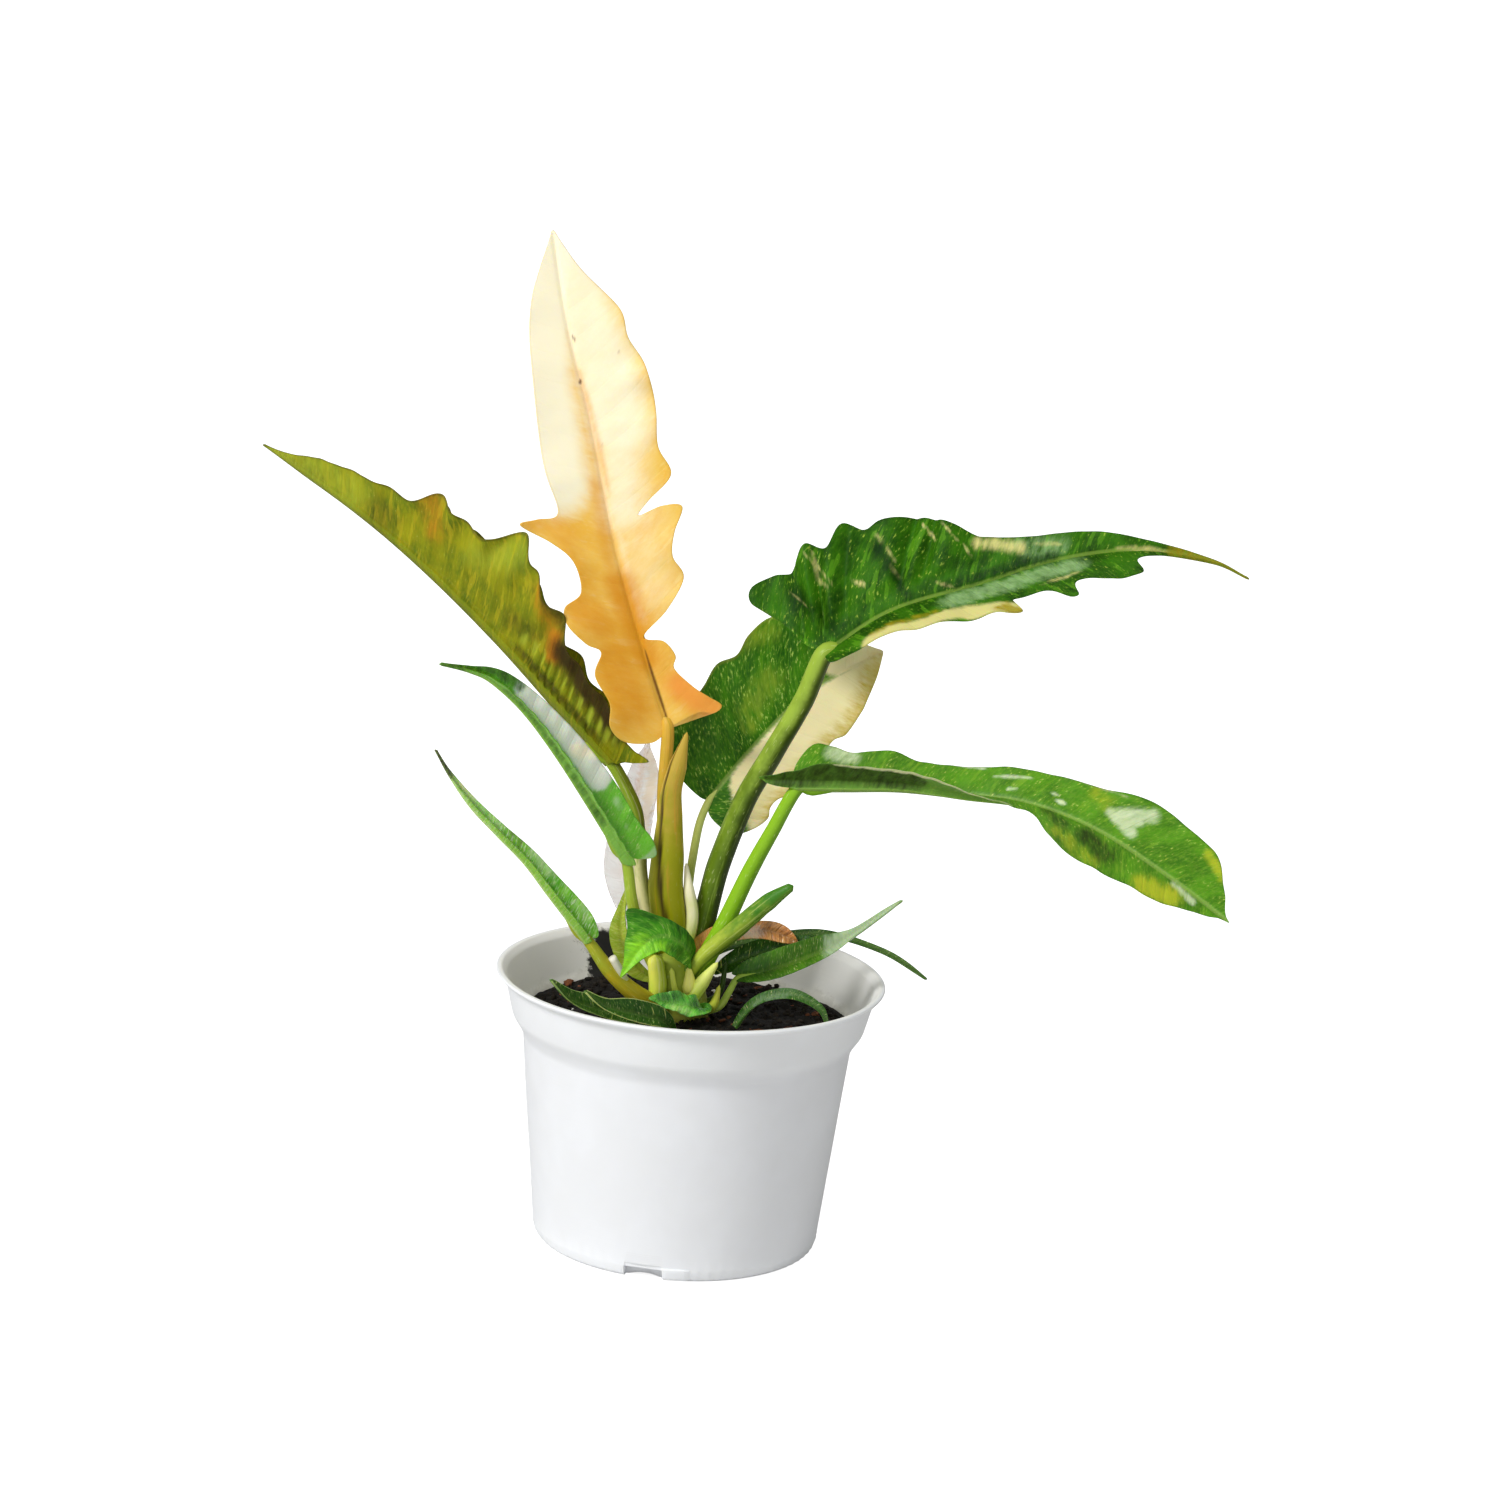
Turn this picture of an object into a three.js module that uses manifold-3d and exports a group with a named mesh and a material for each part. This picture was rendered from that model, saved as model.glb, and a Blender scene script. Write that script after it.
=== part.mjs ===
// Variegated ring of fire philodendron in a white nursery pot.
// Millimetres, +Z up. The origin is on the pot's axis, on the plane that the pot stands on.
// The plant's front faces -Y.
import * as THREE from 'three';
import { mergeVertices } from 'three/addons/utils/BufferGeometryUtils.js';
import Module from 'manifold-3d';

const wasm = await Module();
wasm.setup();

// Driving dimensions
const GAP = 0.3;
const POT_RIM_R = 80;
const POT_HEIGHT = 113;
const POT_COLLAR_R = 76.5;
const POT_COLLAR_FOOT_R = 72.3;
const POT_COLLAR_FOOT_Z = 94;
const POT_SHOULDER_R = 67.5;
const POT_SHOULDER_Z = 86;
const POT_BASE_R = 59;
const POT_FOOT_R = 56;
const POT_WALL = 1.3;
const POT_SIDES = 48;
const DRAIN_COUNT = 3;
const DRAIN_WIDTH = 16;
const DRAIN_HEIGHT = 4;
const DRAIN_FIRST_DEG = -106;
const SOIL_EDGE_Z = 92.5;
const SOIL_MOUND = 4;
const SOIL_LUMP = 1.1;
const SOIL_RINGS = 8;
const SOIL_SIDES = 36;
const FOOT_HOLE_R = 3.1;
const BLADE_THICK = 0.9;
const BLADE_EDGE = 0.6;
const VEIN_SWEEP = 0.45;
const RIB_STEP = 7;
const MARGIN_STEP = 8;
const STALK_STEP = 10;
const STALK_SIDES = 8;

// Places across half a blade where its rows of faces meet, from rib to margin
const BLADE_COLUMNS = [0, 0.2, 0.6, 1];

const COLOUR = {
  pot: 0xf1f1ef,
  soil: 0x1d1512,
  crown: 0x9aa832,
  cream: 0xf2dfae,
  olive: 0x8f9420,
  green: 0x2f7d1c,
  darkGreen: 0x2a5a17,
  brightGreen: 0x6fb51f,
  paleGreen: 0xb9cf6b,
  gold: 0xbfae2c,
  blush: 0xf0dfd8,
  brown: 0xb4692c,
};

// The large leaves. A rib runs from the stalk to the tip. The face list gives where the upper
// side looks, evenly along the rib. The folds are degrees that each half rises from flat.
// Each margin lists places on the flat leaf as [along the rib, out from the rib].
const LEAVES = {
  cream_leaf: {
    colour: COLOUR.cream,
    rib: [[-16, 10, 213], [-28, 13, 244], [-42, 19, 284], [-56, 30, 335], [-68, 38, 373], [-76, 44, 409]],
    face: [[0.1, -1, 0.15], [0.05, -1, 0.2]],
    foldLeft: [14, 8, 6],
    foldRight: [14, 8, 6],
    keel: 2.2,
    right: [
      [1, 3], [3, 14], [1, 20], [3, 24], [8, 20], [14, 15], [23, 10], [28, 12], [35, 9], [39, 1.5],
      [47, 14], [58, 24], [68, 22], [78, 25], [88, 30], [90, 22], [88, 12], [93, 17], [102, 28],
      [114, 25], [128, 27], [145, 27], [158, 23], [172, 22], [191, 9], [202, 3],
    ],
    left: [
      [-2, 3], [-3, 9], [1, 19], [9, 23], [18, 20], [30, 22], [38, 17], [43, 22], [52, 27], [59, 26],
      [63, 18], [75, 18], [84, 25], [93, 36], [94, 29], [95, 20], [112, 22], [135, 21], [162, 17],
      [180, 13], [194, 7], [203, 2.5],
    ],
  },
  olive_leaf: {
    colour: COLOUR.olive,
    rib: [[-38, 11, 198], [-59, 13, 218], [-87, 16, 245], [-118, 21, 271], [-148, 27, 292], [-188, 35, 315]],
    face: [[0.62, 0.1, 0.78]],
    foldLeft: [66],
    foldRight: [60],
    keel: 2.2,
    wave: { height: 1.8, length: 17, phase: 0, full: 30 },
    left: [
      [-4, 4], [-10, 12], [-2, 11], [6, 10], [15, 15], [26, 17], [38, 18], [50, 22], [60, 29], [70, 28],
      [78, 35], [87, 41], [95, 35], [104, 26], [114, 29], [124, 27], [131, 19], [147, 15], [170, 9],
      [185, 4],
    ],
    right: [
      [-2, 4], [-3, 9], [4, 11], [14, 18], [27, 17], [40, 21], [52, 20], [63, 27], [76, 29], [86, 35],
      [97, 30], [108, 24], [119, 26], [130, 18], [150, 13], [172, 8], [186, 3],
    ],
  },
  channel_leaf: {
    colour: COLOUR.green,
    rib: [[-29, -14, 164], [-43, -20, 186], [-58, -28, 209], [-72, -36, 228], [-85, -44, 241],
      [-94, -50, 246], [-106, -54, 249]],
    face: [[0.71, -0.37, 0.6]],
    foldLeft: [50],
    foldRight: [50],
    keel: 1.8,
    right: [[-5, 6], [-7, 11], [0, 13], [12, 12], [30, 12.5], [53, 11], [74, 8.5], [95, 6], [110, 3.5]],
    left: [[-3, 4], [0, 8], [14, 8.5], [35, 9], [60, 8], [85, 6], [105, 3.5]],
  },
  slim_leaf: {
    colour: COLOUR.green,
    rib: [[-42, -28, 133], [-57, -36, 153], [-68, -42, 168], [-79, -48, 180], [-90, -53, 192],
      [-99, -58, 205], [-105, -62, 216]],
    face: [[0.7, -0.4, 0.6]],
    foldLeft: [50],
    foldRight: [50],
    keel: 1.4,
    right: [[-2, 5], [6, 8], [18, 8.5], [40, 6.5], [60, 5], [78, 3.5], [92, 3], [100, 1.5]],
    left: [[0, 4], [8, 6.5], [22, 7], [42, 6], [65, 4.5], [85, 2.5], [100, 1.2]],
  },
  arching_leaf: {
    colour: COLOUR.darkGreen,
    rib: [[46, 2, 252], [71, 0, 271], [105, -4, 285], [136, -8, 298], [168, -12, 305], [196, -14, 303],
      [212, -15, 297]],
    face: [[-0.3, -0.5, 0.87], [0, -0.5, 0.87]],
    foldLeft: [30],
    foldRight: [14],
    keel: 2.4,
    left: [
      [-6, 6], [-12, 24], [-18, 34], [-15, 40], [-5, 40], [3, 36], [9, 40], [15, 43], [20, 37], [27, 43],
      [32, 36], [38, 37], [50, 34], [64, 27], [76, 18], [95, 12], [118, 9], [138, 4], [155, 1.6],
    ],
    right: [
      [-1, 5], [2, 12], [14, 15], [30, 19], [48, 24], [68, 28], [86, 33], [83, 22], [100, 26], [111, 33],
      [110, 21], [124, 23], [137, 19], [135, 7], [152, 2.5],
    ],
  },
  half_moon_leaf: {
    colour: COLOUR.green,
    rib: [[2, 26, 180], [16, 30, 199], [35, 36, 221], [53, 40, 235], [70, 44, 244]],
    face: [[0, -0.95, 0.3]],
    foldLeft: [8],
    foldRight: [8],
    keel: 1.6,
    left: [
      [-1, 4], [0, 14], [5, 24], [13, 30], [23, 31], [34, 32], [43, 34], [50, 31], [57, 34], [66, 34],
      [73, 26], [79, 17], [88, 8],
    ],
    right: [
      [-4, 4], [-5, 11], [-4, 17], [3, 22], [10, 24], [14, 22], [19, 22], [26, 25], [40, 25], [55, 22],
      [64, 23], [77, 18], [88, 10],
    ],
  },
  twisting_leaf: {
    colour: COLOUR.green,
    rib: [[39, -11, 199], [59, -14, 201], [80, -18, 203], [105, -24, 203], [131, -32, 203],
      [159, -42, 196], [187, -52, 182], [212, -60, 167]],
    face: [[0, -0.1, 1], [0, -0.2, 1], [0.05, -0.5, 0.87], [0.2, -0.8, 0.55], [0.2, -0.8, 0.5]],
    foldLeft: [40, 35, 20, 8, 8],
    foldRight: [56, 52, 25, 12, 10],
    keel: 2.2,
    left: [
      [-3, 6], [0, 14], [5, 19], [12, 18], [21, 15], [36, 16], [46, 12], [62, 12], [81, 14], [100, 15],
      [118, 17], [137, 22], [152, 21], [168, 19], [178, 10],
    ],
    right: [
      [-16, 4], [-8, 7], [1, 10], [13, 15], [27, 14], [40, 13], [56, 14], [75, 14], [90, 11], [99, 9],
      [110, 19], [125, 21], [144, 16], [161, 13], [174, 7],
    ],
  },
};

// Young and low leaves round the crown, which narrow to their own foot
const YOUNG_LEAVES = {
  blush_sheath: {
    colour: COLOUR.blush,
    rib: [[-9, 3, 116], [-21, 12, 129], [-29, 15, 145], [-31, 17, 158], [-28, 18, 176], [-24, 18, 205]],
    face: [[-0.1, -1, 0.1]],
    foldLeft: [24],
    foldRight: [24],
    keel: 0.8,
    left: [[5, 3], [22, 6], [38, 8], [52, 7], [70, 5], [88, 3]],
    right: [[5, 3], [22, 7], [38, 9], [52, 8], [70, 6], [88, 4]],
  },
  folded_leaf: {
    colour: COLOUR.brightGreen,
    rib: [[-1, -8, 116], [0, -16, 125], [-6, -22, 134], [-14, -26, 137], [-22, -30, 131], [-31, -35, 117]],
    face: [[0.2, -0.6, 0.75], [0, -0.9, 0.4]],
    foldLeft: [6],
    foldRight: [6],
    keel: 0.8,
    left: [[7, 3], [14, 6], [25, 8], [37, 6], [48, 2.5]],
    right: [[7, 3], [14, 5], [22, 7], [31, 11], [40, 6], [49, 2]],
  },
  olive_sheath: {
    colour: COLOUR.paleGreen,
    rib: [[-13, -3, 109], [-24, -3, 116], [-30, -4, 130], [-29, -4, 148]],
    face: [[-0.5, -0.85, 0.2]],
    foldLeft: [20],
    foldRight: [20],
    keel: 0.8,
    left: [[6, 2.5], [16, 4.5], [28, 4.5], [38, 2]],
    right: [[6, 2.5], [16, 4.5], [28, 4.5], [38, 2]],
  },
  dried_bract: {
    colour: COLOUR.brown,
    rib: [[-4, -1, 114], [6, 0, 127], [17, 1, 132], [31, 2, 133], [43, 1, 129]],
    face: [[0, -1, 0.35]],
    foldLeft: [12],
    foldRight: [12],
    keel: 0.6,
    left: [[8, 4], [20, 4.5], [34, 3.5], [46, 4], [52, 2.5]],
    right: [[8, 4], [20, 4], [34, 3.5], [46, 3.5], [52, 2]],
  },
  low_leaf_right: {
    colour: COLOUR.green,
    rib: [[19, -2, 114], [36, -5, 120], [59, -12, 134], [83, -20, 156]],
    face: [[-0.1, -0.75, 0.65]],
    foldLeft: [20],
    foldRight: [12],
    keel: 1.2,
    left: [[-2, 2], [6, 6], [20, 7.5], [38, 7], [54, 4.5], [70, 2]],
    right: [[-1, 2], [8, 4.5], [22, 5], [38, 4], [54, 2.5], [70, 1.2]],
  },
  grass_leaf: {
    colour: COLOUR.darkGreen,
    rib: [[-2, 6, 113], [13, 8, 123], [32, 10, 128], [54, 11, 131], [78, 9, 126], [97, 4, 117]],
    face: [[0, -0.5, 0.87]],
    foldLeft: [15],
    foldRight: [15],
    keel: 0.5,
    left: [[5, 1.5], [25, 2.2], [50, 2], [75, 1.2], [95, 1]],
    right: [[5, 1.5], [25, 2.2], [50, 2], [75, 1.2], [95, 1]],
  },
  strap_leaf: {
    colour: COLOUR.green,
    rib: [[17, -16, 88], [20, -17, 99], [28, -21, 110], [41, -26, 115], [53, -29, 111], [58, -30, 103]],
    face: [[-0.8, -0.5, 0.3], [-0.1, -0.7, 0.7], [0.6, -0.6, 0.5]],
    foldLeft: [14],
    foldRight: [14],
    keel: 0.6,
    left: [[8, 1.5], [22, 2.6], [40, 3.2], [54, 2]],
    right: [[8, 1.5], [22, 2.6], [40, 3.2], [54, 2]],
  },
  front_leaf_left: {
    colour: COLOUR.green,
    rib: [[-15, -19, 88], [-21, -24, 99], [-35, -32, 105], [-47, -39, 111], [-55, -44, 120]],
    face: [[0.3, -0.6, 0.75]],
    foldLeft: [18],
    foldRight: [18],
    keel: 0.8,
    left: [[10, 2], [22, 4.5], [36, 4.5], [48, 2.5]],
    right: [[10, 2], [22, 5], [36, 5], [48, 3]],
  },
  front_leaf_low: {
    colour: COLOUR.green,
    rib: [[-3, -21, 87], [-8, -29, 100], [-20, -38, 106], [-33, -46, 111], [-41, -50, 118]],
    face: [[0.2, -0.7, 0.7]],
    foldLeft: [18],
    foldRight: [18],
    keel: 0.8,
    left: [[10, 2], [22, 4.5], [36, 5], [48, 2.5]],
    right: [[10, 2], [22, 5.5], [36, 5.5], [48, 3]],
  },
  ruffled_leaf: {
    colour: COLOUR.brightGreen,
    rib: [[1, -9, 101], [6, -16, 104], [1, -22, 106], [-7, -25, 108], [-16, -27, 110]],
    face: [[0, -0.7, 0.7]],
    foldLeft: [10],
    foldRight: [10],
    keel: 0.8,
    wave: { height: 1, length: 11, phase: 0, full: 5 },
    left: [[5, 2], [13, 4.5], [22, 5], [30, 3]],
    right: [[5, 2], [13, 4.5], [22, 5], [30, 3.5]],
  },
};

// Leaf stalks, from the crown to the blade. Radii run evenly from foot to top.
const STALKS = {
  cream_stalk: {
    colour: COLOUR.olive,
    line: [[-7, 2, 118], [-9, 9, 136], [-13, 10, 158], [-16, 10, 183], [-16, 10, 212]],
    radii: [3.6, 3.2, 2.8, 2.6],
  },
  olive_stalk: {
    colour: COLOUR.gold,
    line: [[-8, -1, 112], [-19, 2, 137], [-23, 4, 152], [-25, 6, 170], [-28, 9, 181], [-38, 11, 197]],
    radii: [3.4, 2.8, 2.6, 2.6],
  },
  channel_stalk: {
    colour: COLOUR.paleGreen,
    line: [[-8, -5, 106], [-16, -9, 120], [-22, -11, 133], [-26, -13, 147], [-29, -14, 163]],
    radii: [3, 2.7, 2.4, 2.2],
  },
  slim_stalk: {
    colour: COLOUR.gold,
    line: [[-5, -5, 103], [-14, -15, 104], [-23, -21, 110], [-33, -26, 120], [-42, -28, 132]],
    radii: [4, 4, 3.4, 2.2],
  },
  arching_stalk: {
    colour: COLOUR.green,
    line: [[-3, 2, 110], [3, 6, 130], [8, 6, 157], [17, 5, 186], [27, 4, 207], [38, 3, 230], [45, 2, 250]],
    radii: [4.4, 4.1, 3.6, 3.1, 2.8],
  },
  half_moon_stalk: {
    colour: COLOUR.paleGreen,
    line: [[-7, 5, 120], [-4, 14, 142], [-3, 17, 154], [-1, 22, 170], [2, 26, 179]],
    radii: [2.2, 1.8, 1.6],
  },
  twisting_stalk: {
    colour: COLOUR.brightGreen,
    line: [[-2, -5, 105], [8, -7, 127], [13, -8, 139], [21, -9, 160], [29, -10, 178], [38, -11, 197]],
    radii: [4.4, 3.8, 3.2, 2.7],
  },
  low_right_stalk: {
    colour: COLOUR.paleGreen,
    line: [[3, -6, 99], [12, -8, 102], [16, -5, 108], [19, -2, 113]],
    radii: [1.8, 1.5, 1.3],
  },
};

// Rolled leaves, sheaths, buds and cut ends, which are solid shoots
const SHOOTS = {
  rolled_spear: {
    colour: COLOUR.gold,
    line: [[-9, -2, 122], [-11, -2, 136], [-13, -2, 150], [-13, -2, 163], [-13, -2, 178], [-13, -2, 190],
      [-11, -2, 201], [-8, -1, 215]],
    radii: [6.2, 6.8, 6.8, 6.4, 5, 4.1, 3.6, 0.6],
    wide: [1, 0, 0],
    flat: 0.72,
  },
  pale_sheath: {
    colour: COLOUR.paleGreen,
    line: [[-4, -2, 120], [-1, -2, 137], [-3, -2, 149], [-5, 0, 160]],
    radii: [2.6, 2.6, 2.2, 0.6],
  },
  rolled_leaf: {
    colour: COLOUR.gold,
    line: [[-2, -7, 110], [4, -14, 124], [17, -20, 139], [30, -25, 153], [39, -28, 161]],
    radii: [2.2, 3, 3.5, 3.6, 3.3, 1.6],
  },
  front_stem: {
    colour: COLOUR.paleGreen,
    line: [[-7, -8, 101], [-9, -14, 110], [-12, -17, 123]],
    radii: [2.8, 2.7, 2.4],
  },
  thin_stem: {
    colour: COLOUR.paleGreen,
    line: [[-4, -9, 103], [-6, -15, 110], [-8, -17, 120]],
    radii: [1.4, 1.2, 1],
  },
  crown_bud: {
    colour: COLOUR.gold,
    line: [[0, -7, 106], [0, -14, 112], [-1, -17, 121]],
    radii: [3, 3.2, 0.8],
  },
  front_sheath: {
    colour: COLOUR.paleGreen,
    line: [[2, -7, 102], [6, -15, 110], [11, -20, 122]],
    radii: [2.4, 2.4, 0.8],
  },
  side_bud: {
    colour: COLOUR.gold,
    line: [[5, -7, 99], [10, -12, 104], [12, -13, 113]],
    radii: [2, 2, 0.6],
  },
  dark_stem: {
    colour: COLOUR.darkGreen,
    line: [[4, -1, 100], [12, -1, 106], [14, 1, 119]],
    radii: [1.6, 1.3, 0.9],
  },
  cut_stub: {
    colour: COLOUR.blush,
    line: [[-25, -22, 112], [-28, -26, 119], [-32, -28, 126]],
    radii: [1.8, 1.7, 1.6],
  },
};

const CROWN = {
  colour: COLOUR.crown,
  line: [[-3, -2, 70], [-4, -2, 96], [-6, -2, 111], [-9, -1, 125]],
  radii: [12, 12.4, 11, 8],
};

// Solids

function toSolid(geometry) {
  const bare = geometry.clone();
  bare.deleteAttribute('normal');
  bare.deleteAttribute('uv');
  const merged = mergeVertices(bare, 1e-4);
  const mesh = new wasm.Mesh({
    numProp: 3,
    vertProperties: Float32Array.from(merged.getAttribute('position').array),
    triVerts: Uint32Array.from(merged.getIndex().array),
  });
  return new wasm.Manifold(mesh);
}

function fromSolid(solid) {
  const mesh = solid.getMesh();
  const geometry = new THREE.BufferGeometry();
  geometry.setAttribute('position', new THREE.BufferAttribute(Float32Array.from(mesh.vertProperties), 3));
  geometry.setIndex(new THREE.BufferAttribute(Uint32Array.from(mesh.triVerts), 1));
  geometry.computeVertexNormals();
  return geometry;
}

// What is left of a solid after the others are cut away, without loose scraps
function cutAway(solid, others) {
  let left = solid;
  for (const other of others) {
    left = left.subtract(other);
  }
  const bodies = left.decompose().sort((a, b) => b.volume() - a.volume());
  return bodies[0];
}

// Collects faces by corner places, so that corners that meet become one
class FaceList {
  constructor() {
    this.places = [];
    this.faces = [];
    this.known = new Map();
  }

  corner(point) {
    const key = point.toArray().map((v) => Math.round(v * 500)).join(',');
    if (!this.known.has(key)) {
      this.known.set(key, this.places.length / 3);
      this.places.push(point.x, point.y, point.z);
    }
    return this.known.get(key);
  }

  face(a, b, c) {
    if (a !== b && b !== c && a !== c) {
      this.faces.push(a, b, c);
    }
  }

  geometry() {
    const geometry = new THREE.BufferGeometry();
    geometry.setAttribute('position', new THREE.Float32BufferAttribute(this.places, 3));
    geometry.setIndex(this.faces);
    geometry.computeVertexNormals();
    return geometry;
  }
}

// Curves and rules along a length

const vector = (p) => new THREE.Vector3(...p);

function smoothCurve(points) {
  return new THREE.CatmullRomCurve3(points.map(vector), false, 'catmullrom', 0.5);
}

// The value of an evenly spread list at a share of its length
function spread(list, share) {
  if (list.length === 1) {
    return list[0];
  }
  const place = Math.min(Math.max(share, 0), 1) * (list.length - 1);
  const low = Math.min(Math.floor(place), list.length - 2);
  return list[low] * (1 - place + low) + list[low + 1] * (place - low);
}

function spreadVector(list, share) {
  return new THREE.Vector3(...[0, 1, 2].map((k) => spread(list.map((p) => p[k]), share)));
}

// Leaf blades

class Blade {
  constructor(leaf) {
    this.leaf = leaf;
    this.curve = smoothCurve(leaf.rib);
    this.length = this.curve.getLength();
    this.wave = leaf.wave ?? { height: 0, length: 1, phase: 0, full: 1 };
  }

  // The rib's point and axes: along it, out to the right, and out of the upper side
  frame(along) {
    const share = Math.min(Math.max(along / this.length, 0), 1);
    const tangent = this.curve.getTangentAt(share);
    const point = this.curve.getPointAt(share);
    point.addScaledVector(tangent, along - share * this.length);
    const up = spreadVector(this.leaf.face, share);
    up.addScaledVector(tangent, -up.dot(tangent)).normalize();
    const out = new THREE.Vector3().crossVectors(tangent, up);
    return { point, tangent, out, up, share };
  }

  // The upper surface at a place on the flat leaf
  surface(along, across, side) {
    const { point, out, up, share } = this.frame(along);
    const folds = side > 0 ? this.leaf.foldRight : this.leaf.foldLeft;
    const fold = THREE.MathUtils.degToRad(spread(folds, share));
    const turn = Math.sin(2 * Math.PI * (along / this.wave.length + this.wave.phase));
    const swell = Math.min(across / this.wave.full, 1.2) ** 2 * this.wave.height * turn;
    point.addScaledVector(out, side * across * Math.cos(fold));
    return point.addScaledVector(up, across * Math.sin(fold) + swell);
  }

  normal(along, across, side) {
    const step = 0.5;
    const here = this.surface(along, across, side);
    const onward = this.surface(along + step, across, side).sub(here);
    const outward = this.surface(along, across + step, side).sub(here);
    const normal = new THREE.Vector3().crossVectors(outward, onward).normalize();
    return normal.multiplyScalar(side);
  }

  // How deep the underside lies at the rib: a keel that fades out towards the tip
  ribDepth(along) {
    const share = Math.min(Math.max(along / this.length, 0), 1);
    return BLADE_THICK + this.leaf.keel * (1 - share);
  }
}

// The places along one margin, with its outline points always among them
function marginPlaces(outline, length) {
  const points = [[0, 0], ...outline, [length, 0]].map((p) => new THREE.Vector3(p[0], p[1], 0));
  const curve = new THREE.CatmullRomCurve3(points, false, 'catmullrom', 0.5);
  const last = points.length - 1;
  const places = [];
  for (let i = 0; i < last; i += 1) {
    const cells = Math.max(1, Math.round(points[i].distanceTo(points[i + 1]) / MARGIN_STEP));
    for (let k = 0; k < cells; k += 1) {
      places.push(curve.getPoint((i + k / cells) / last));
    }
  }
  places.push(points[last]);
  return places.map((p) => ({ along: p.x, across: Math.max(p.y, 0) }));
}

// One half of a blade: rows of faces run from the rib out to the margin, as the side veins do
function addHalfBlade(list, blade, side, ribTop, ribUnder) {
  const outline = side > 0 ? blade.leaf.right : blade.leaf.left;
  const stations = ribTop.length - 1;
  const toStation = (along) => Math.round((along / blade.length) * stations);
  let reached = 0;
  const rows = marginPlaces(outline, blade.length).map((place) => {
    const foot = THREE.MathUtils.clamp(place.along - VEIN_SWEEP * place.across, 0, blade.length);
    const isTip = place.across === 0 && place.along > 0;
    reached = isTip ? stations : Math.max(reached, toStation(foot));
    const top = [ribTop[reached]];
    const under = [ribUnder[reached]];
    const start = (reached / stations) * blade.length;
    for (const share of BLADE_COLUMNS.slice(1)) {
      const across = place.across * share;
      if (across < 0.5) {
        top.push(ribTop[reached]);
        under.push(ribUnder[reached]);
        continue;
      }
      const along = start + (place.along - start) * share;
      const thick = BLADE_THICK + (BLADE_EDGE - BLADE_THICK) * share;
      const point = blade.surface(along, across, side);
      top.push(list.corner(point));
      under.push(list.corner(point.clone().addScaledVector(blade.normal(along, across, side), -thick)));
    }
    return { station: reached, top, under };
  });
  const flip = side > 0;
  const add = (a, b, c) => (flip ? list.face(a, b, c) : list.face(a, c, b));
  for (let j = 0; j + 1 < rows.length; j += 1) {
    const here = rows[j];
    const next = rows[j + 1];
    for (let k = here.station; k < next.station; k += 1) {
      add(ribTop[k], here.top[1], ribTop[k + 1]);
      add(ribUnder[k], ribUnder[k + 1], here.under[1]);
    }
    add(next.top[0], here.top[1], next.top[1]);
    add(next.under[0], next.under[1], here.under[1]);
    for (let c = 1; c + 1 < BLADE_COLUMNS.length; c += 1) {
      add(here.top[c], here.top[c + 1], next.top[c + 1]);
      add(here.top[c], next.top[c + 1], next.top[c]);
      add(here.under[c], next.under[c + 1], here.under[c + 1]);
      add(here.under[c], next.under[c], next.under[c + 1]);
    }
    const edge = BLADE_COLUMNS.length - 1;
    add(here.top[edge], here.under[edge], next.under[edge]);
    add(here.top[edge], next.under[edge], next.top[edge]);
  }
}

function bladeGeometry(leaf) {
  const blade = new Blade(leaf);
  const list = new FaceList();
  const stations = Math.max(4, Math.round(blade.length / RIB_STEP));
  const ribTop = [];
  const ribUnder = [];
  for (let k = 0; k <= stations; k += 1) {
    const { point, up } = blade.frame((k / stations) * blade.length);
    ribTop.push(list.corner(point));
    const depth = blade.ribDepth((k / stations) * blade.length);
    ribUnder.push(list.corner(point.clone().addScaledVector(up, -depth)));
  }
  addHalfBlade(list, blade, 1, ribTop, ribUnder);
  addHalfBlade(list, blade, -1, ribTop, ribUnder);
  return list.geometry();
}

// Stalks and shoots

// A closed tube of round or flattened sections along a curve
function stalkGeometry(stalk, grow = 0) {
  const curve = smoothCurve(stalk.line);
  const list = new FaceList();
  const length = curve.getLength();
  const cells = Math.max(3, Math.round(length / STALK_STEP));
  const flat = stalk.flat ?? 1;
  const rings = [];
  for (let k = 0; k <= cells; k += 1) {
    const share = k / cells;
    const tangent = curve.getTangentAt(share);
    const wide = vector(stalk.wide ?? [0, 1, 0]);
    wide.addScaledVector(tangent, -wide.dot(tangent)).normalize();
    const deep = new THREE.Vector3().crossVectors(tangent, wide);
    const reach = k === 0 ? -grow : (k === cells ? grow : 0);
    const centre = curve.getPointAt(share).addScaledVector(tangent, reach);
    const radius = spread(stalk.radii, share);
    const ring = [];
    for (let i = 0; i < STALK_SIDES; i += 1) {
      const angle = (2 * Math.PI * i) / STALK_SIDES;
      const point = centre.clone();
      point.addScaledVector(wide, (radius + grow) * Math.cos(angle));
      point.addScaledVector(deep, (radius * flat + grow) * Math.sin(angle));
      ring.push(list.corner(point));
    }
    rings.push({ ring, centre });
  }
  for (let k = 0; k < cells; k += 1) {
    for (let i = 0; i < STALK_SIDES; i += 1) {
      const j = (i + 1) % STALK_SIDES;
      list.face(rings[k].ring[i], rings[k].ring[j], rings[k + 1].ring[j]);
      list.face(rings[k].ring[i], rings[k + 1].ring[j], rings[k + 1].ring[i]);
    }
  }
  addCap(list, rings[0], true);
  addCap(list, rings[cells], false);
  return list.geometry();
}

function addCap(list, { ring, centre }, isFoot) {
  const middle = list.corner(centre);
  for (let i = 0; i < ring.length; i += 1) {
    const j = (i + 1) % ring.length;
    if (isFoot) {
      list.face(middle, ring[j], ring[i]);
    } else {
      list.face(middle, ring[i], ring[j]);
    }
  }
}

// Pot and soil

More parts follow.
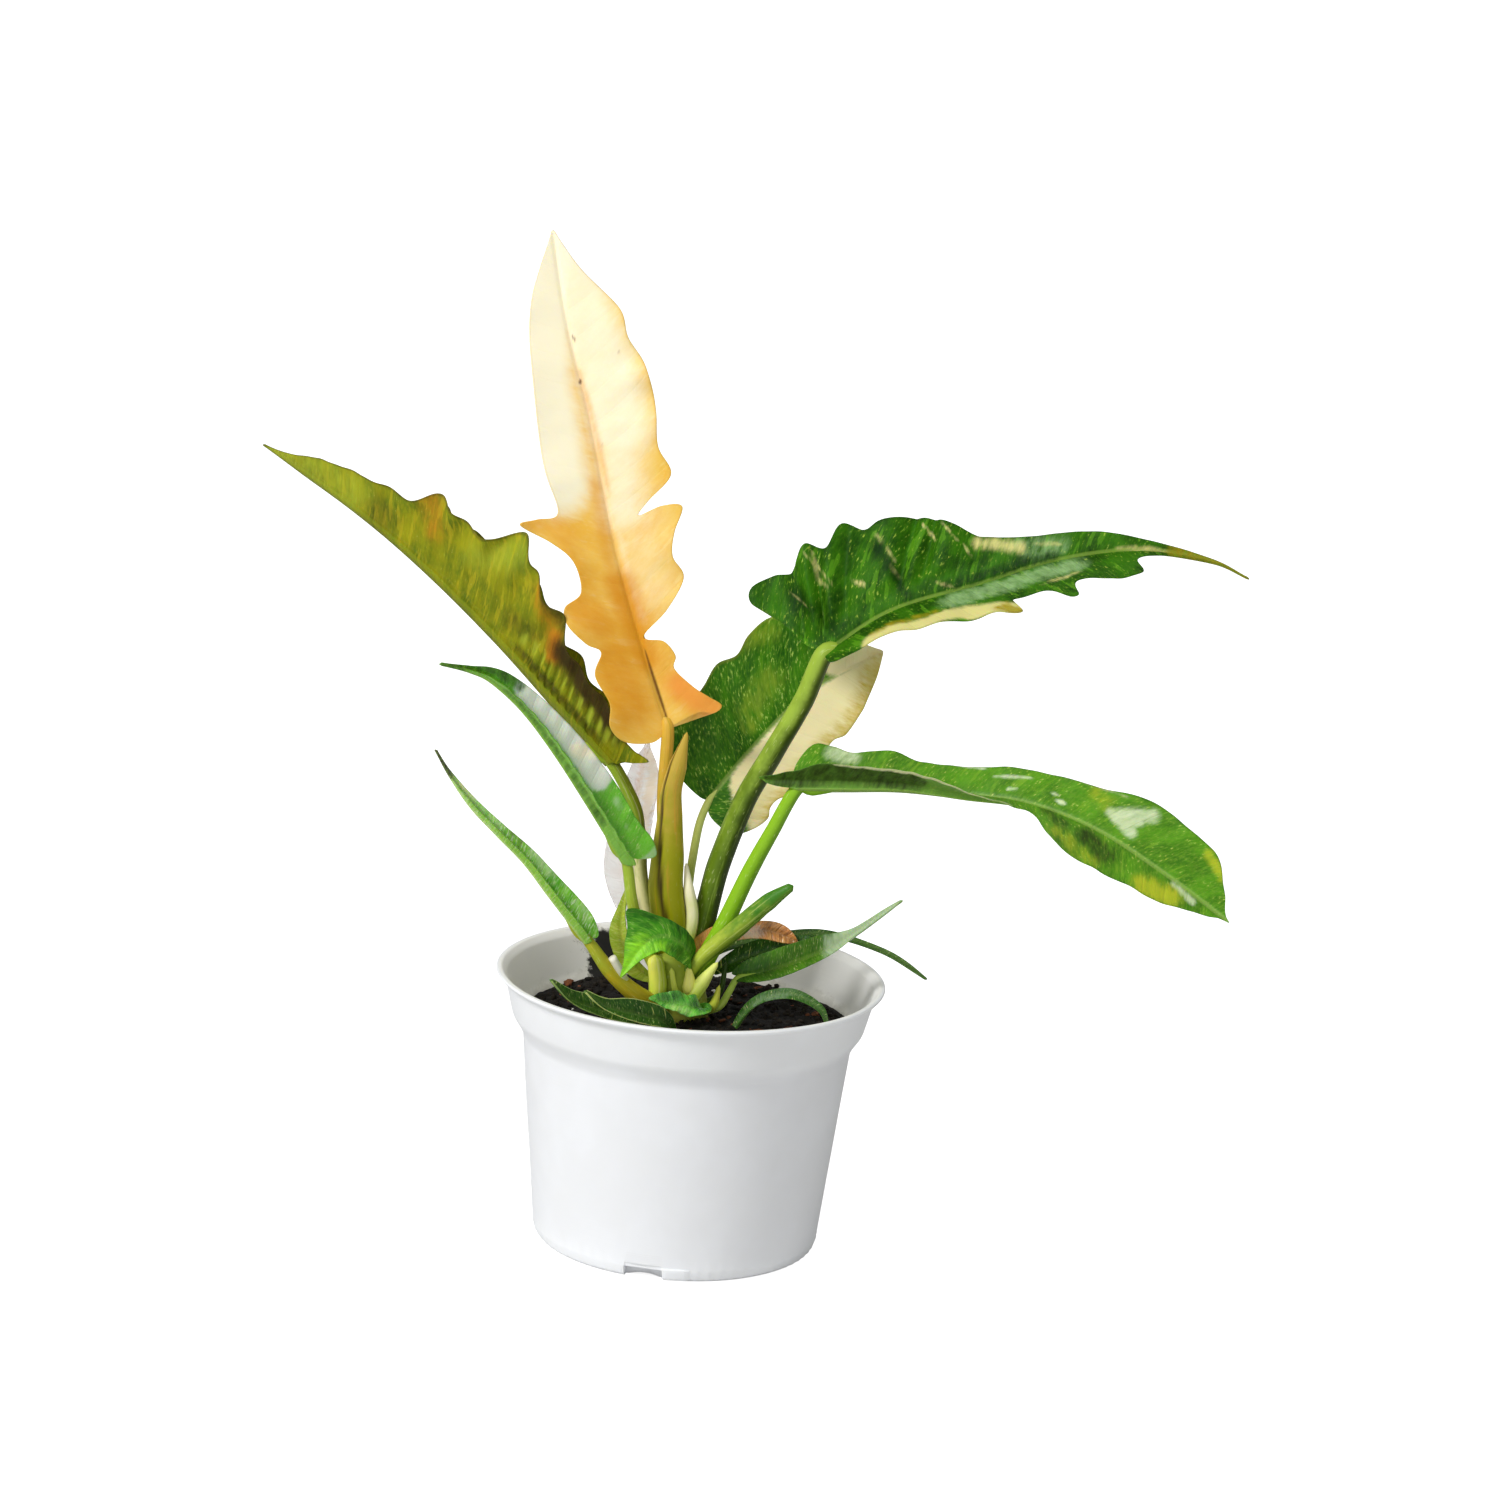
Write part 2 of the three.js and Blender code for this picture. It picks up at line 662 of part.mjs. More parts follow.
// The inside of the pot from the middle of its floor up to the rim
function potInside() {
  return [
    [0, POT_WALL],
    [44, POT_WALL],
    [46, DRAIN_HEIGHT + POT_WALL],
    [54, DRAIN_HEIGHT + POT_WALL],
    [POT_BASE_R - POT_WALL, DRAIN_HEIGHT + 3.5],
    [POT_SHOULDER_R - POT_WALL, POT_SHOULDER_Z],
    [POT_SHOULDER_R + 0.8, POT_SHOULDER_Z + 4.8],
    [POT_COLLAR_FOOT_R - POT_WALL, POT_COLLAR_FOOT_Z + 0.8],
    [POT_COLLAR_R - POT_WALL, POT_HEIGHT - 2.5],
    [POT_RIM_R - 2.4, POT_HEIGHT],
  ];
}

function potOutside() {
  return [
    [0, 0],
    [45.5, 0],
    [47.5, DRAIN_HEIGHT],
    [52, DRAIN_HEIGHT],
    [53.5, 0],
    [POT_FOOT_R, 0],
    [POT_FOOT_R + 1.8, 1.2],
    [POT_BASE_R, DRAIN_HEIGHT + 1],
    [POT_SHOULDER_R, POT_SHOULDER_Z],
    [POT_SHOULDER_R + 2, POT_SHOULDER_Z + 4],
    [POT_COLLAR_FOOT_R, POT_COLLAR_FOOT_Z],
    [POT_COLLAR_R, POT_HEIGHT - 2.5],
    [POT_RIM_R - 1, POT_HEIGHT - 2],
    [POT_RIM_R, POT_HEIGHT - 0.8],
    [POT_RIM_R - 0.4, POT_HEIGHT],
  ];
}

function turned(profile, sides) {
  const points = profile.map(([r, z]) => new THREE.Vector2(r, z));
  const geometry = new THREE.LatheGeometry(points, sides);
  geometry.rotateX(Math.PI / 2);
  return geometry;
}

function potSolid() {
  const profile = [...potOutside(), ...potInside().reverse()];
  let pot = toSolid(turned(profile, POT_SIDES));
  for (let i = 0; i < DRAIN_COUNT; i += 1) {
    const notch = new THREE.BoxGeometry(10, DRAIN_WIDTH, DRAIN_HEIGHT);
    notch.translate(POT_BASE_R - 1, 0, DRAIN_HEIGHT / 2 - 0.4);
    notch.rotateZ(THREE.MathUtils.degToRad(DRAIN_FIRST_DEG + (360 * i) / DRAIN_COUNT));
    pot = pot.subtract(toSolid(notch));
  }
  return pot;
}

// Uneven height of the soil, from a few crossing ripples
function soilLump(x, y) {
  const coarse = Math.sin(x * 0.31 + 1.7 * Math.sin(y * 0.23)) * Math.sin(y * 0.37 + 0.6);
  const fine = Math.sin(x * 0.83 + 2.1) * Math.cos(y * 0.71 + x * 0.29);
  return SOIL_LUMP * (0.6 * coarse + 0.4 * fine);
}

function soilSolid() {
  const wall = potInside().filter(([, z]) => z < SOIL_EDGE_Z);
  const profile = wall.map(([r, z]) => [Math.max(r - 1.2 * GAP, 0), z + 1.2 * GAP]);
  const topR = POT_SHOULDER_R + 0.8;
  profile.push([topR, SOIL_EDGE_Z]);
  for (let k = SOIL_RINGS - 1; k >= 0; k -= 1) {
    const share = k / SOIL_RINGS;
    profile.push([topR * share, SOIL_EDGE_Z + SOIL_MOUND * (1 - share ** 2)]);
  }
  const geometry = turned(profile, SOIL_SIDES);
  const places = geometry.getAttribute('position');
  for (let i = 0; i < places.count; i += 1) {
    const x = places.getX(i);
    const y = places.getY(i);
    const inside = Math.hypot(x, y) < topR - 3;
    if (places.getZ(i) > SOIL_EDGE_Z - 0.1 && inside) {
      places.setZ(i, places.getZ(i) + soilLump(x, y));
    }
  }
  return toSolid(geometry);
}

// The whole plant

const plant = new THREE.Group();

function addPiece(name, geometry, colour, roughness) {
  const material = new THREE.MeshStandardMaterial({ color: colour, roughness, metalness: 0 });
  const mesh = new THREE.Mesh(geometry, material);
  mesh.name = name;
  plant.add(mesh);
}

const crownRoom = toSolid(stalkGeometry(CROWN, GAP));
const stalks = { ...STALKS, ...SHOOTS };
const taken = [crownRoom];
const buried = [crownRoom];

addPiece('stem_crown', stalkGeometry(CROWN), CROWN.colour, 0.6);
for (const [name, stalk] of Object.entries(stalks)) {
  const solid = cutAway(toSolid(stalkGeometry(stalk)), taken);
  addPiece(name, fromSolid(solid), stalk.colour, 0.45);
  taken.push(toSolid(stalkGeometry(stalk, GAP)));
}
for (const [name, leaf] of Object.entries({ ...LEAVES, ...YOUNG_LEAVES })) {
  const solid = toSolid(bladeGeometry(leaf));
  addPiece(name, fromSolid(cutAway(solid, taken)), leaf.colour, 0.4);
  if (leaf.rib[0][2] < SOIL_EDGE_Z) {
    buried.push(toSolid(stalkGeometry({ line: leaf.rib.slice(0, 2), radii: [FOOT_HOLE_R] }, GAP)));
  }
}
addPiece('nursery_pot', fromSolid(potSolid()), COLOUR.pot, 0.45);
addPiece('potting_soil', fromSolid(cutAway(soilSolid(), buried)), COLOUR.soil, 0.95);

export default plant;
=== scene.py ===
"""A variegated ring of fire philodendron in a white nursery pot, dressed for rendering.

Lengths in the forms below are millimetres, and they are turned into metres where a mesh is made.
The plant's front faces -Y and +Z is up. The origin is on the pot's axis, where the pot stands.
"""

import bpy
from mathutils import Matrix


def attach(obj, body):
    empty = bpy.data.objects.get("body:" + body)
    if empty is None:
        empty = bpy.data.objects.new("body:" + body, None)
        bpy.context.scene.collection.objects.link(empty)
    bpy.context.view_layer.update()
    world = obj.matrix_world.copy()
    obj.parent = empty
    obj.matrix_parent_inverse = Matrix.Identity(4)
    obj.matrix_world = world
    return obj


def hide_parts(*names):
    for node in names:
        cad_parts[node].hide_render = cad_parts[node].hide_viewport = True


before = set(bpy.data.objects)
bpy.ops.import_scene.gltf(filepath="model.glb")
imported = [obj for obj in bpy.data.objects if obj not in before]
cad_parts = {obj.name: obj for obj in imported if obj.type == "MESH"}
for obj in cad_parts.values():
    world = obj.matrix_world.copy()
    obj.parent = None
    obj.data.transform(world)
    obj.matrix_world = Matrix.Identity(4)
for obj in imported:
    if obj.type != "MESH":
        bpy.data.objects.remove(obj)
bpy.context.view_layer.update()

import itertools
import logging
import math
from collections.abc import Sequence
from dataclasses import dataclass, field
from enum import Enum

import bpy
import numpy as np
from mathutils import Matrix, Vector

LOG = logging.getLogger("plant")
MM = 0.001
BODY = "root"
WHITE = (1.0, 1.0, 1.0, 1.0)

Array = np.ndarray
Socket = bpy.types.NodeSocket
Tree = bpy.types.NodeTree
Material = bpy.types.Material
Piece = bpy.types.Object
Place = Sequence[float]
Triple = tuple[float, float, float]
# A colour as a screen shows it, in six hexadecimal digits
Paint = str
Feed = Socket | float | Paint


class Side(Enum):
    """The half of a blade, seen from its upper side with the tip up."""

    LEFT = -1
    RIGHT = 1


class Tint(Enum):
    """The four painted layers that a leaf's marks go to."""

    FIRST = 0
    SECOND = 1
    THIRD = 2
    FOURTH = 3


# Curves and unevenness


def linear(colour: Paint) -> Triple:
    """Turns a colour as a screen shows it into the light that a surface sends back.

    Args:
        colour: Two hexadecimal digits each for red, green and blue.

    Returns:
        Red, green and blue as linear shares.
    """
    shares = [int(colour[k:k + 2], 16) / 255 for k in (0, 2, 4)]
    return tuple(s / 12.92 if s <= 0.04045 else ((s + 0.055) / 1.055) ** 2.4 for s in shares)


def unit(vectors: Array) -> Array:
    """Gives vectors of length one in the same directions."""
    return vectors / np.maximum(np.linalg.norm(vectors, axis=-1, keepdims=True), 1e-9)


def fade(value: Array, low: float, high: float) -> Array:
    """Rises smoothly from 0 at low to 1 at high."""
    share = np.clip((value - low) / (high - low), 0.0, 1.0)
    return share * share * (3.0 - 2.0 * share)


def turns(count: int) -> Array:
    """Gives angles evenly round a full turn, the first one 0."""
    return np.linspace(0.0, 2 * np.pi, count + 1)[:-1]


def between(at: Array, knots: Array, table: Array) -> Array:
    """Reads a table of points that lie at the knots, at places between them."""
    return np.stack([np.interp(at, knots, column) for column in table.T], -1)


def spread(values: Sequence, share: Array) -> Array:
    """Reads a list whose values lie evenly along a length.

    Args:
        values: Numbers, or points of three numbers.
        share: Where along the length to read, from 0 to 1.

    Returns:
        One value, or one point, for each share.
    """
    table = np.asarray(values, float)
    knots = np.linspace(0.0, 1.0, len(table)) if len(table) > 1 else np.zeros(1)
    if table.ndim == 1:
        return np.interp(share, knots, table)
    return between(share, knots, table)


def through(knots: Sequence[Place], counts: Sequence[int]) -> Array:
    """Lays a smooth line through points.

    Args:
        knots: The points, of any number of dimensions.
        counts: How many cells each stretch between two points gets.

    Returns:
        The places along the line, with every point among them.
    """
    table = np.asarray(knots, float)
    table = np.vstack([2 * table[0] - table[1], table, 2 * table[-1] - table[-2]])
    places = []
    for i, count in enumerate(counts, start=1):
        a, b, c, d = table[i - 1:i + 3]
        t = (np.arange(count) / count)[:, None]
        square, cube = 2 * a - 5 * b + 4 * c - d, 3 * b - a - 3 * c + d
        places.append((2 * b + (c - a) * t + square * t**2 + cube * t**3) / 2)
    places.append(table[-2:-1])
    return np.vstack(places)


class SmoothLine:
    """A smooth line in space that is read by the length along it."""

    CELLS = 40
    PROBE = 0.6

    def __init__(self, points: Sequence[Place]) -> None:
        """Lays the line through the points."""
        self.places = through(points, [self.CELLS] * (len(points) - 1))
        steps = np.linalg.norm(np.diff(self.places, axis=0), axis=1)
        self.reach = np.concatenate([[0.0], np.cumsum(steps)])
        self.length = float(self.reach[-1])

    def at(self, along: Array) -> Array:
        """Gives the places at lengths along the line."""
        return between(along, self.reach, self.places)

    def heading(self, along: Array) -> Array:
        """Gives the directions of the line at lengths along it."""
        ahead = self.at(np.clip(along + self.PROBE, 0.0, self.length))
        behind = self.at(np.clip(along - self.PROBE, 0.0, self.length))
        return unit(ahead - behind)


class Unevenness:
    """Smooth seeded noise, for surfaces that are never quite even."""

    CELLS = 32

    def __init__(self, seed: int) -> None:
        """Draws the values on the corners of a cube of cells."""
        self.grid = np.random.default_rng(seed).uniform(-1.0, 1.0, (self.CELLS,) * 3)

    def at(self, places: Array, size: float) -> Array:
        """Reads the noise.

        Args:
            places: Points of three numbers.
            size: The width of one swell.

        Returns:
            A value from -1 to 1 for each point.
        """
        cells = np.asarray(places, float) / size
        low = np.floor(cells).astype(int)
        share = fade(cells - low, 0.0, 1.0)
        total = np.zeros(cells.shape[:-1])
        for corner in itertools.product((0, 1), repeat=3):
            weight = np.prod(np.where(corner, share, 1.0 - share), axis=-1)
            cell = (low + corner) % self.CELLS
            total += weight * self.grid[cell[..., 0], cell[..., 1], cell[..., 2]]
        return total

    def layered(self, places: Array, size: float, layers: int) -> Array:
        """Adds up finer and finer noise, each layer half as wide and half as strong."""
        return sum(self.at(places, size / 2**k) / 2**k for k in range(layers))


# Meshes in the making


class Skin:
    """Corners, faces and painted values of a mesh that is being made, in millimetres."""

    def __init__(self, **widths: int) -> None:
        """Starts an empty mesh.

        Args:
            **widths: How many numbers each painted value has, 1 or 3.
        """
        self.widths = widths
        self.places: list[Array] = []
        self.values: dict[str, list[Array]] = {name: [] for name in widths}
        self.faces: list[Array] = []
        self.count = 0

    def add(self, places: Array, **values: Array | float) -> Array:
        """Adds corners.

        Args:
            places: An array of points, of any shape.
            **values: What is painted on them.

        Returns:
            The corners' numbers, in the shape of the array of points.
        """
        shape = places.shape[:-1]
        self.places.append(places.reshape(-1, 3))
        for name, width in self.widths.items():
            full = shape + ((width,) if width > 1 else ())
            self.values[name].append(np.broadcast_to(values[name], full).reshape(-1, width))
        numbers = self.count + np.arange(self.places[-1].shape[0])
        self.count += len(numbers)
        return numbers.reshape(shape)

    def cover(self, *corners: Array, flip: bool = False) -> None:
        """Adds faces of three or four corners, one face for each place in the arrays."""
        faces = np.stack(np.broadcast_arrays(*corners), -1).reshape(-1, len(corners))
        self.faces.append(faces[:, ::-1] if flip else faces)

    def strip(self, grid: Array, flip: bool = False) -> None:
        """Covers a grid of corners with four-sided faces."""
        self.cover(grid[:-1, :-1], grid[:-1, 1:], grid[1:, 1:], grid[1:, :-1], flip=flip)

    def strip_round(self, grid: Array, flip: bool = False) -> None:
        """Covers rings of corners that close on themselves."""
        self.strip(np.column_stack([grid, grid[:, 0]]), flip=flip)

    def strip_to_points(self, grid: Array, flip: bool = False) -> None:
        """Covers closed rings of corners, the first and the last drawn to one point each."""
        for row in (0, -1):
            grid[row] = grid[row, 0]
        self.strip_round(grid, flip=flip)

    def _clean_faces(self) -> list[list[int]]:
        """Leaves out corners that a face names twice, and faces with fewer than three corners."""
        clean = []
        for block in self.faces:
            for face in block.tolist():
                corners = [c for k, c in enumerate(face) if c != face[k - 1]]
                if len(set(corners)) == len(corners) and len(corners) > 2:
                    clean.append(corners)
        return clean

    def build(self, name: str, material: Material) -> Piece:
        """Makes the mesh and its object.

        Args:
            name: The piece's name.
            material: Its finish.

        Returns:
            The object, at the origin, smooth shaded.
        """
        mesh = bpy.data.meshes.new(name)
        mesh.from_pydata(np.vstack(self.places) * MM, [], self._clean_faces())
        for value, width in self.widths.items():
            kind = "FLOAT_VECTOR" if width > 1 else "FLOAT"
            layer = mesh.attributes.new(value, kind, "POINT")
            numbers = np.vstack(self.values[value]).astype(np.float32).ravel()
            layer.data.foreach_set("vector" if width > 1 else "value", numbers)
        mesh.shade_smooth()
        mesh.materials.append(material)
        piece = bpy.data.objects.new(name, mesh)
        bpy.context.scene.collection.objects.link(piece)
        return piece


def seat(piece: Piece, slot: str, *nodes: str) -> None:
    """Ties a piece to the plant's body and hides the solids it stands for.

    Args:
        piece: The finished piece.
        slot: The record's material slot, which is not used.
        *nodes: The solids that the piece replaces.
    """
    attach(piece, BODY)
    if nodes:
        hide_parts(*nodes)
    LOG.info("%s: %d faces", piece.name, len(piece.data.polygons))


# Nodes of the finishes


class Wiring:
    """Places shader nodes in one tree and joins their sockets."""

    def __init__(self, tree: Tree) -> None:
        """Works in the given tree."""
        self.tree = tree

    def node(self, kind: str, inputs: dict[str | int, Feed] | None = None, **settings) -> bpy.types.Node:
        """Adds a node.

        Args:
            kind: The node's type.
            inputs: What feeds its sockets, by name or number.
            **settings: The node's own settings.

        Returns:
            The new node.
        """
        made = self.tree.nodes.new(kind)
        for name, value in settings.items():
            setattr(made, name, value)
        for key, value in (inputs or {}).items():
            self.feed(made.inputs[key], value)
        return made

    def feed(self, socket: Socket, value: Feed) -> None:
        """Links a socket, or sets it where the value is a plain number or colour."""
        if isinstance(value, Socket):
            self.tree.links.new(value, socket)
        elif socket.type == "RGBA":
            socket.default_value = (*linear(value), 1.0)
        else:
            socket.default_value = value

    def maths(self, operation: str, *values: Feed) -> Socket:
        """Adds one step of arithmetic."""
        return self.node("ShaderNodeMath", dict(enumerate(values)), operation=operation).outputs[0]

    def times(self, first: Feed, second: Feed) -> Socket:
        """Multiplies two numbers."""
        return self.maths("MULTIPLY", first, second)

    def fade(self, value: Feed, low: Feed, high: Feed, start: Feed = 0.0, end: Feed = 1.0) -> Socket:
        """Goes smoothly from start, where the value is low, to end, where it is high."""
        inputs = {0: value, 1: low, 2: high, 3: start, 4: end}
        return self.node("ShaderNodeMapRange", inputs, interpolation_type="SMOOTHSTEP").outputs[0]

    def blend(self, share: Feed, first: Feed, second: Feed) -> Socket:
        """Mixes two colours."""
        return self.node("ShaderNodeMix", {0: share, 6: first, 7: second}, data_type="RGBA").outputs[2]

    def cover(self, colour: Feed, mask: Feed, share: float, tint: Feed) -> Socket:
        """Lays a share of a tint over a colour, where a mask shows it."""
        return self.blend(self.times(mask, share), colour, tint)

    def worn(self, grain: Feed, roughness: float, less: float, more: float) -> Socket:
        """Lets a roughness swing with the grain of a surface."""
        return self.fade(grain, 0.3, 0.7, roughness - less, roughness + more)

    def noise(self, place: Feed, scale: float, detail: float = 2.0, rough: float = 0.5) -> Socket:
        """Gives soft noise from 0 to 1."""
        inputs = {"Vector": place, "Scale": scale, "Detail": detail, "Roughness": rough}
        return self.node("ShaderNodeTexNoise", inputs).outputs[0]

    def split(self, vector: Feed) -> bpy.types.NodeOutputs:
        """Parts a vector into its three numbers."""
        return self.node("ShaderNodeSeparateXYZ", {0: vector}).outputs

    def join(self, x: Feed = 0.0, y: Feed = 0.0, z: Feed = 0.0) -> Socket:
        """Joins three numbers into a vector."""
        return self.node("ShaderNodeCombineXYZ", {0: x, 1: y, 2: z}).outputs[0]

    def painted(self, name: str, output: str = "Vector") -> Socket:
        """Reads a value that is painted on the mesh: a vector, or with output Fac a number."""
        return self.node("ShaderNodeAttribute", attribute_name=name).outputs[output]

    def group(self, tree: Tree, **inputs: Feed) -> bpy.types.NodeOutputs:
        """Places a node group, whose sockets are named with spaces for underscores."""
        made = self.tree.nodes.new("ShaderNodeGroup")
        made.node_tree = tree
        for name, value in inputs.items():
            self.feed(made.inputs[name.replace("_", " ").title()], value)
        return made.outputs


class Effect:
    """A shader node group in the making, with named inputs and outputs."""

    def __init__(self, name: str, inputs: dict[str, Feed], outputs: Sequence[str]) -> None:
        """Makes an empty group.

        Args:
            name: The group's name.
            inputs: Names with their default values, where None is a vector.
            outputs: Names of the numbers that it puts out.
        """
        self.tree = bpy.data.node_groups.new(name, "ShaderNodeTree")
        for label, value in inputs.items():
            kind = "NodeSocketVector" if value is None else "NodeSocketFloat"
            socket = self.tree.interface.new_socket(label, in_out="INPUT", socket_type=kind)
            if value is not None:
                socket.default_value = value
        for label in outputs:
            self.tree.interface.new_socket(label, in_out="OUTPUT", socket_type="NodeSocketFloat")
        self.wiring = Wiring(self.tree)
        self.given = self.wiring.node("NodeGroupInput").outputs
        self.taken = self.wiring.node("NodeGroupOutput").inputs

    def put_out(self, **values: Socket) -> Tree:
        """Joins the results to the group's outputs and gives the finished group."""
        for name, value in values.items():
            self.wiring.feed(self.taken[name.replace("_", " ").title()], value)
        return self.tree


def side_vein_effect() -> Tree:
    """Veins of a blade, from its painted place: along, across, and side veins counted along."""
    effect = Effect(
        "Side Veins",
        {"Place": None, "Pitch": 11.0, "Width": 0.6, "Rib Width": 1.2},
        ("Rib", "Vein", "Height"),
    )
    fine_times, fine_width, fine_depth = 5.0, 0.55, 0.35
    cell_scale, cell_depth, rib_core = 0.55, 0.22, 0.4
    w, given = effect.wiring, effect.given
    along, across, count = w.split(given["Place"])
    out = w.maths("ABSOLUTE", across)

    def lines(times: float, width: Feed) -> Socket:
        """Lines at each whole count, or at so many times as many places."""
        cell = w.maths("FRACT", w.times(count, times))
        from_middle = w.maths("ABSOLUTE", w.maths("SUBTRACT", cell, 0.5))
        distance = w.maths("DIVIDE", w.maths("SUBTRACT", 0.5, from_middle), times)
        return w.fade(w.times(distance, given["Pitch"]), 0.0, width, 1.0, 0.0)

    rib = w.fade(out, w.times(given["Rib Width"], rib_core), given["Rib Width"], 1.0, 0.0)
    vein = lines(1.0, given["Width"])
    fine = lines(fine_times, w.times(given["Width"], fine_width))
    cells = w.node("ShaderNodeTexVoronoi", {"Vector": w.join(along, out), "Scale": cell_scale}).outputs[0]
    height = w.times(vein, -1.0)
    height = w.maths("MULTIPLY_ADD", fine, -fine_depth, height)
    height = w.maths("MULTIPLY_ADD", cells, -cell_depth, height)
    return effect.put_out(rib=rib, vein=vein, height=height)


def variegation_effect() -> Tree:
    """Depth of colour, streaks, flecks and mottling, all drawn out along the side veins."""
    effect = Effect(
        "Variegation",
        {"Place": None, "Seed": 0.0, "Streak Level": 0.62, "Fleck Level": 0.6, "Fleck Length": 1.6},
        ("Depth", "Streak", "Fleck", "Mottle"),
    )
    w, given = effect.wiring, effect.given
    _, across, count = w.split(given["Place"])

    def drawn(lane: float, reach: Feed, shift: float, detail: float) -> Socket:
        """Noise with so many lanes between two veins, drawn out as far as the reach."""
        layer = w.maths("ADD", given["Seed"], shift)
        place = w.join(w.times(count, lane), w.maths("DIVIDE", across, reach), layer)
        return w.noise(place, 1.0, detail, 0.55)

    depth = w.fade(drawn(1.1, 15.0, 21.0, 3.0), 0.38, 0.62)
    streak_top = w.maths("ADD", given["Streak Level"], 0.04)
    streak = w.fade(drawn(2.8, 17.0, 0.0, 3.0), given["Streak Level"], streak_top)
    speck = drawn(12.0, given["Fleck Length"], 5.3, 2.0)
    crowd = w.fade(drawn(1.2, 9.0, 11.0, 1.0), 0.3, 0.6, 0.2, 1.0)
    fleck = w.fade(speck, given["Fleck Level"], w.maths("ADD", given["Fleck Level"], 0.15))
    fleck = w.times(fleck, crowd)
    return effect.put_out(depth=depth, streak=streak, fleck=fleck, mottle=w.fade(speck, 0.35, 0.65))


def ragged_mark_effect() -> Tree:
    """A painted mark whose edge is torn along the side veins."""
    effect = Effect("Ragged Mark", {"Mark": 0.0, "Place": None, "Seed": 0.0, "Tear": 0.6}, ("Mark",))
    w, given = effect.wiring, effect.given
    _, across, count = w.split(given["Place"])
    drawn = w.join(w.times(count, 3.2), w.times(across, 0.14), given["Seed"])
    torn = w.maths("SUBTRACT", w.noise(drawn, 1.0, 4.0, 0.65), 0.5)
    edge = w.times(given["Mark"], w.maths("SUBTRACT", 1.0, given["Mark"]))
    torn = w.times(w.times(torn, given["Tear"]), w.times(edge, 4.0))
    mark = w.node("ShaderNodeMath", {0: given["Mark"], 1: torn}, operation="ADD", use_clamp=True)
    return effect.put_out(mark=mark.outputs[0])


def clouding_effect() -> Tree:
    """Soft uneven depth of colour, with fine grain in it."""
    effect = Effect("Clouding", {"Place": None, "Size": 12.0, "Seed": 0.0}, ("Cloud", "Grain"))
    w, given = effect.wiring, effect.given
    shift = w.join(given["Seed"], 0.0, given["Seed"])
    moved = w.node("ShaderNodeVectorMath", {0: given["Place"], 1: shift}, operation="ADD").outputs[0]
    scaled = w.node("ShaderNodeVectorMath", {0: moved}, operation="SCALE")
    w.feed(scaled.inputs["Scale"], w.maths("DIVIDE", 1.0, given["Size"]))
    cloud = w.fade(w.noise(scaled.outputs[0], 1.0, 3.0, 0.55), 0.3, 0.7)
    grain = w.noise(scaled.outputs[0], 14.0, 3.0, 0.6)
    return effect.put_out(cloud=cloud, grain=grain)


@dataclass(frozen=True)
class Effects:
    """The node groups that several finishes share."""

    side_veins: Tree
    variegation: Tree
    ragged_mark: Tree
    clouding: Tree

    @classmethod
    def build(cls) -> "Effects":
        """Makes each group once."""
        return cls(side_vein_effect(), variegation_effect(), ragged_mark_effect(), clouding_effect())


class Surface:
    """A material in the making: the wiring of its tree, and its surface shader."""

    def __init__(self, name: str) -> None:
        """Starts a material."""
        self.material = bpy.data.materials.new(name)
        self.material.use_nodes = True
        self.wiring = Wiring(self.material.node_tree)
        self.shader = self.material.node_tree.nodes["Principled BSDF"]

    def finish(self, colour: Feed, rough: Feed, relief: tuple[Feed, float, float],
               settings: dict[str, float | Triple]) -> Material:
        """Joins the results to the shader.

        Args:
            colour: The surface's colour.
            rough: Its roughness.
            relief: How high it stands out, how strongly that shows, and how many millimetres it means.
            settings: Plain values of the shader's other inputs.

        Returns:
            The finished material.
        """
        w, inputs = self.wiring, self.shader.inputs
        height, strength, reach = relief
        bump = w.node("ShaderNodeBump", {"Height": height, "Strength": strength, "Distance": reach * MM})
        w.feed(inputs["Base Color"], colour)
        w.feed(inputs["Roughness"], rough)
        w.feed(inputs["Normal"], bump.outputs[0])
        for name, value in settings.items():
            inputs[name].default_value = value
        return self.material


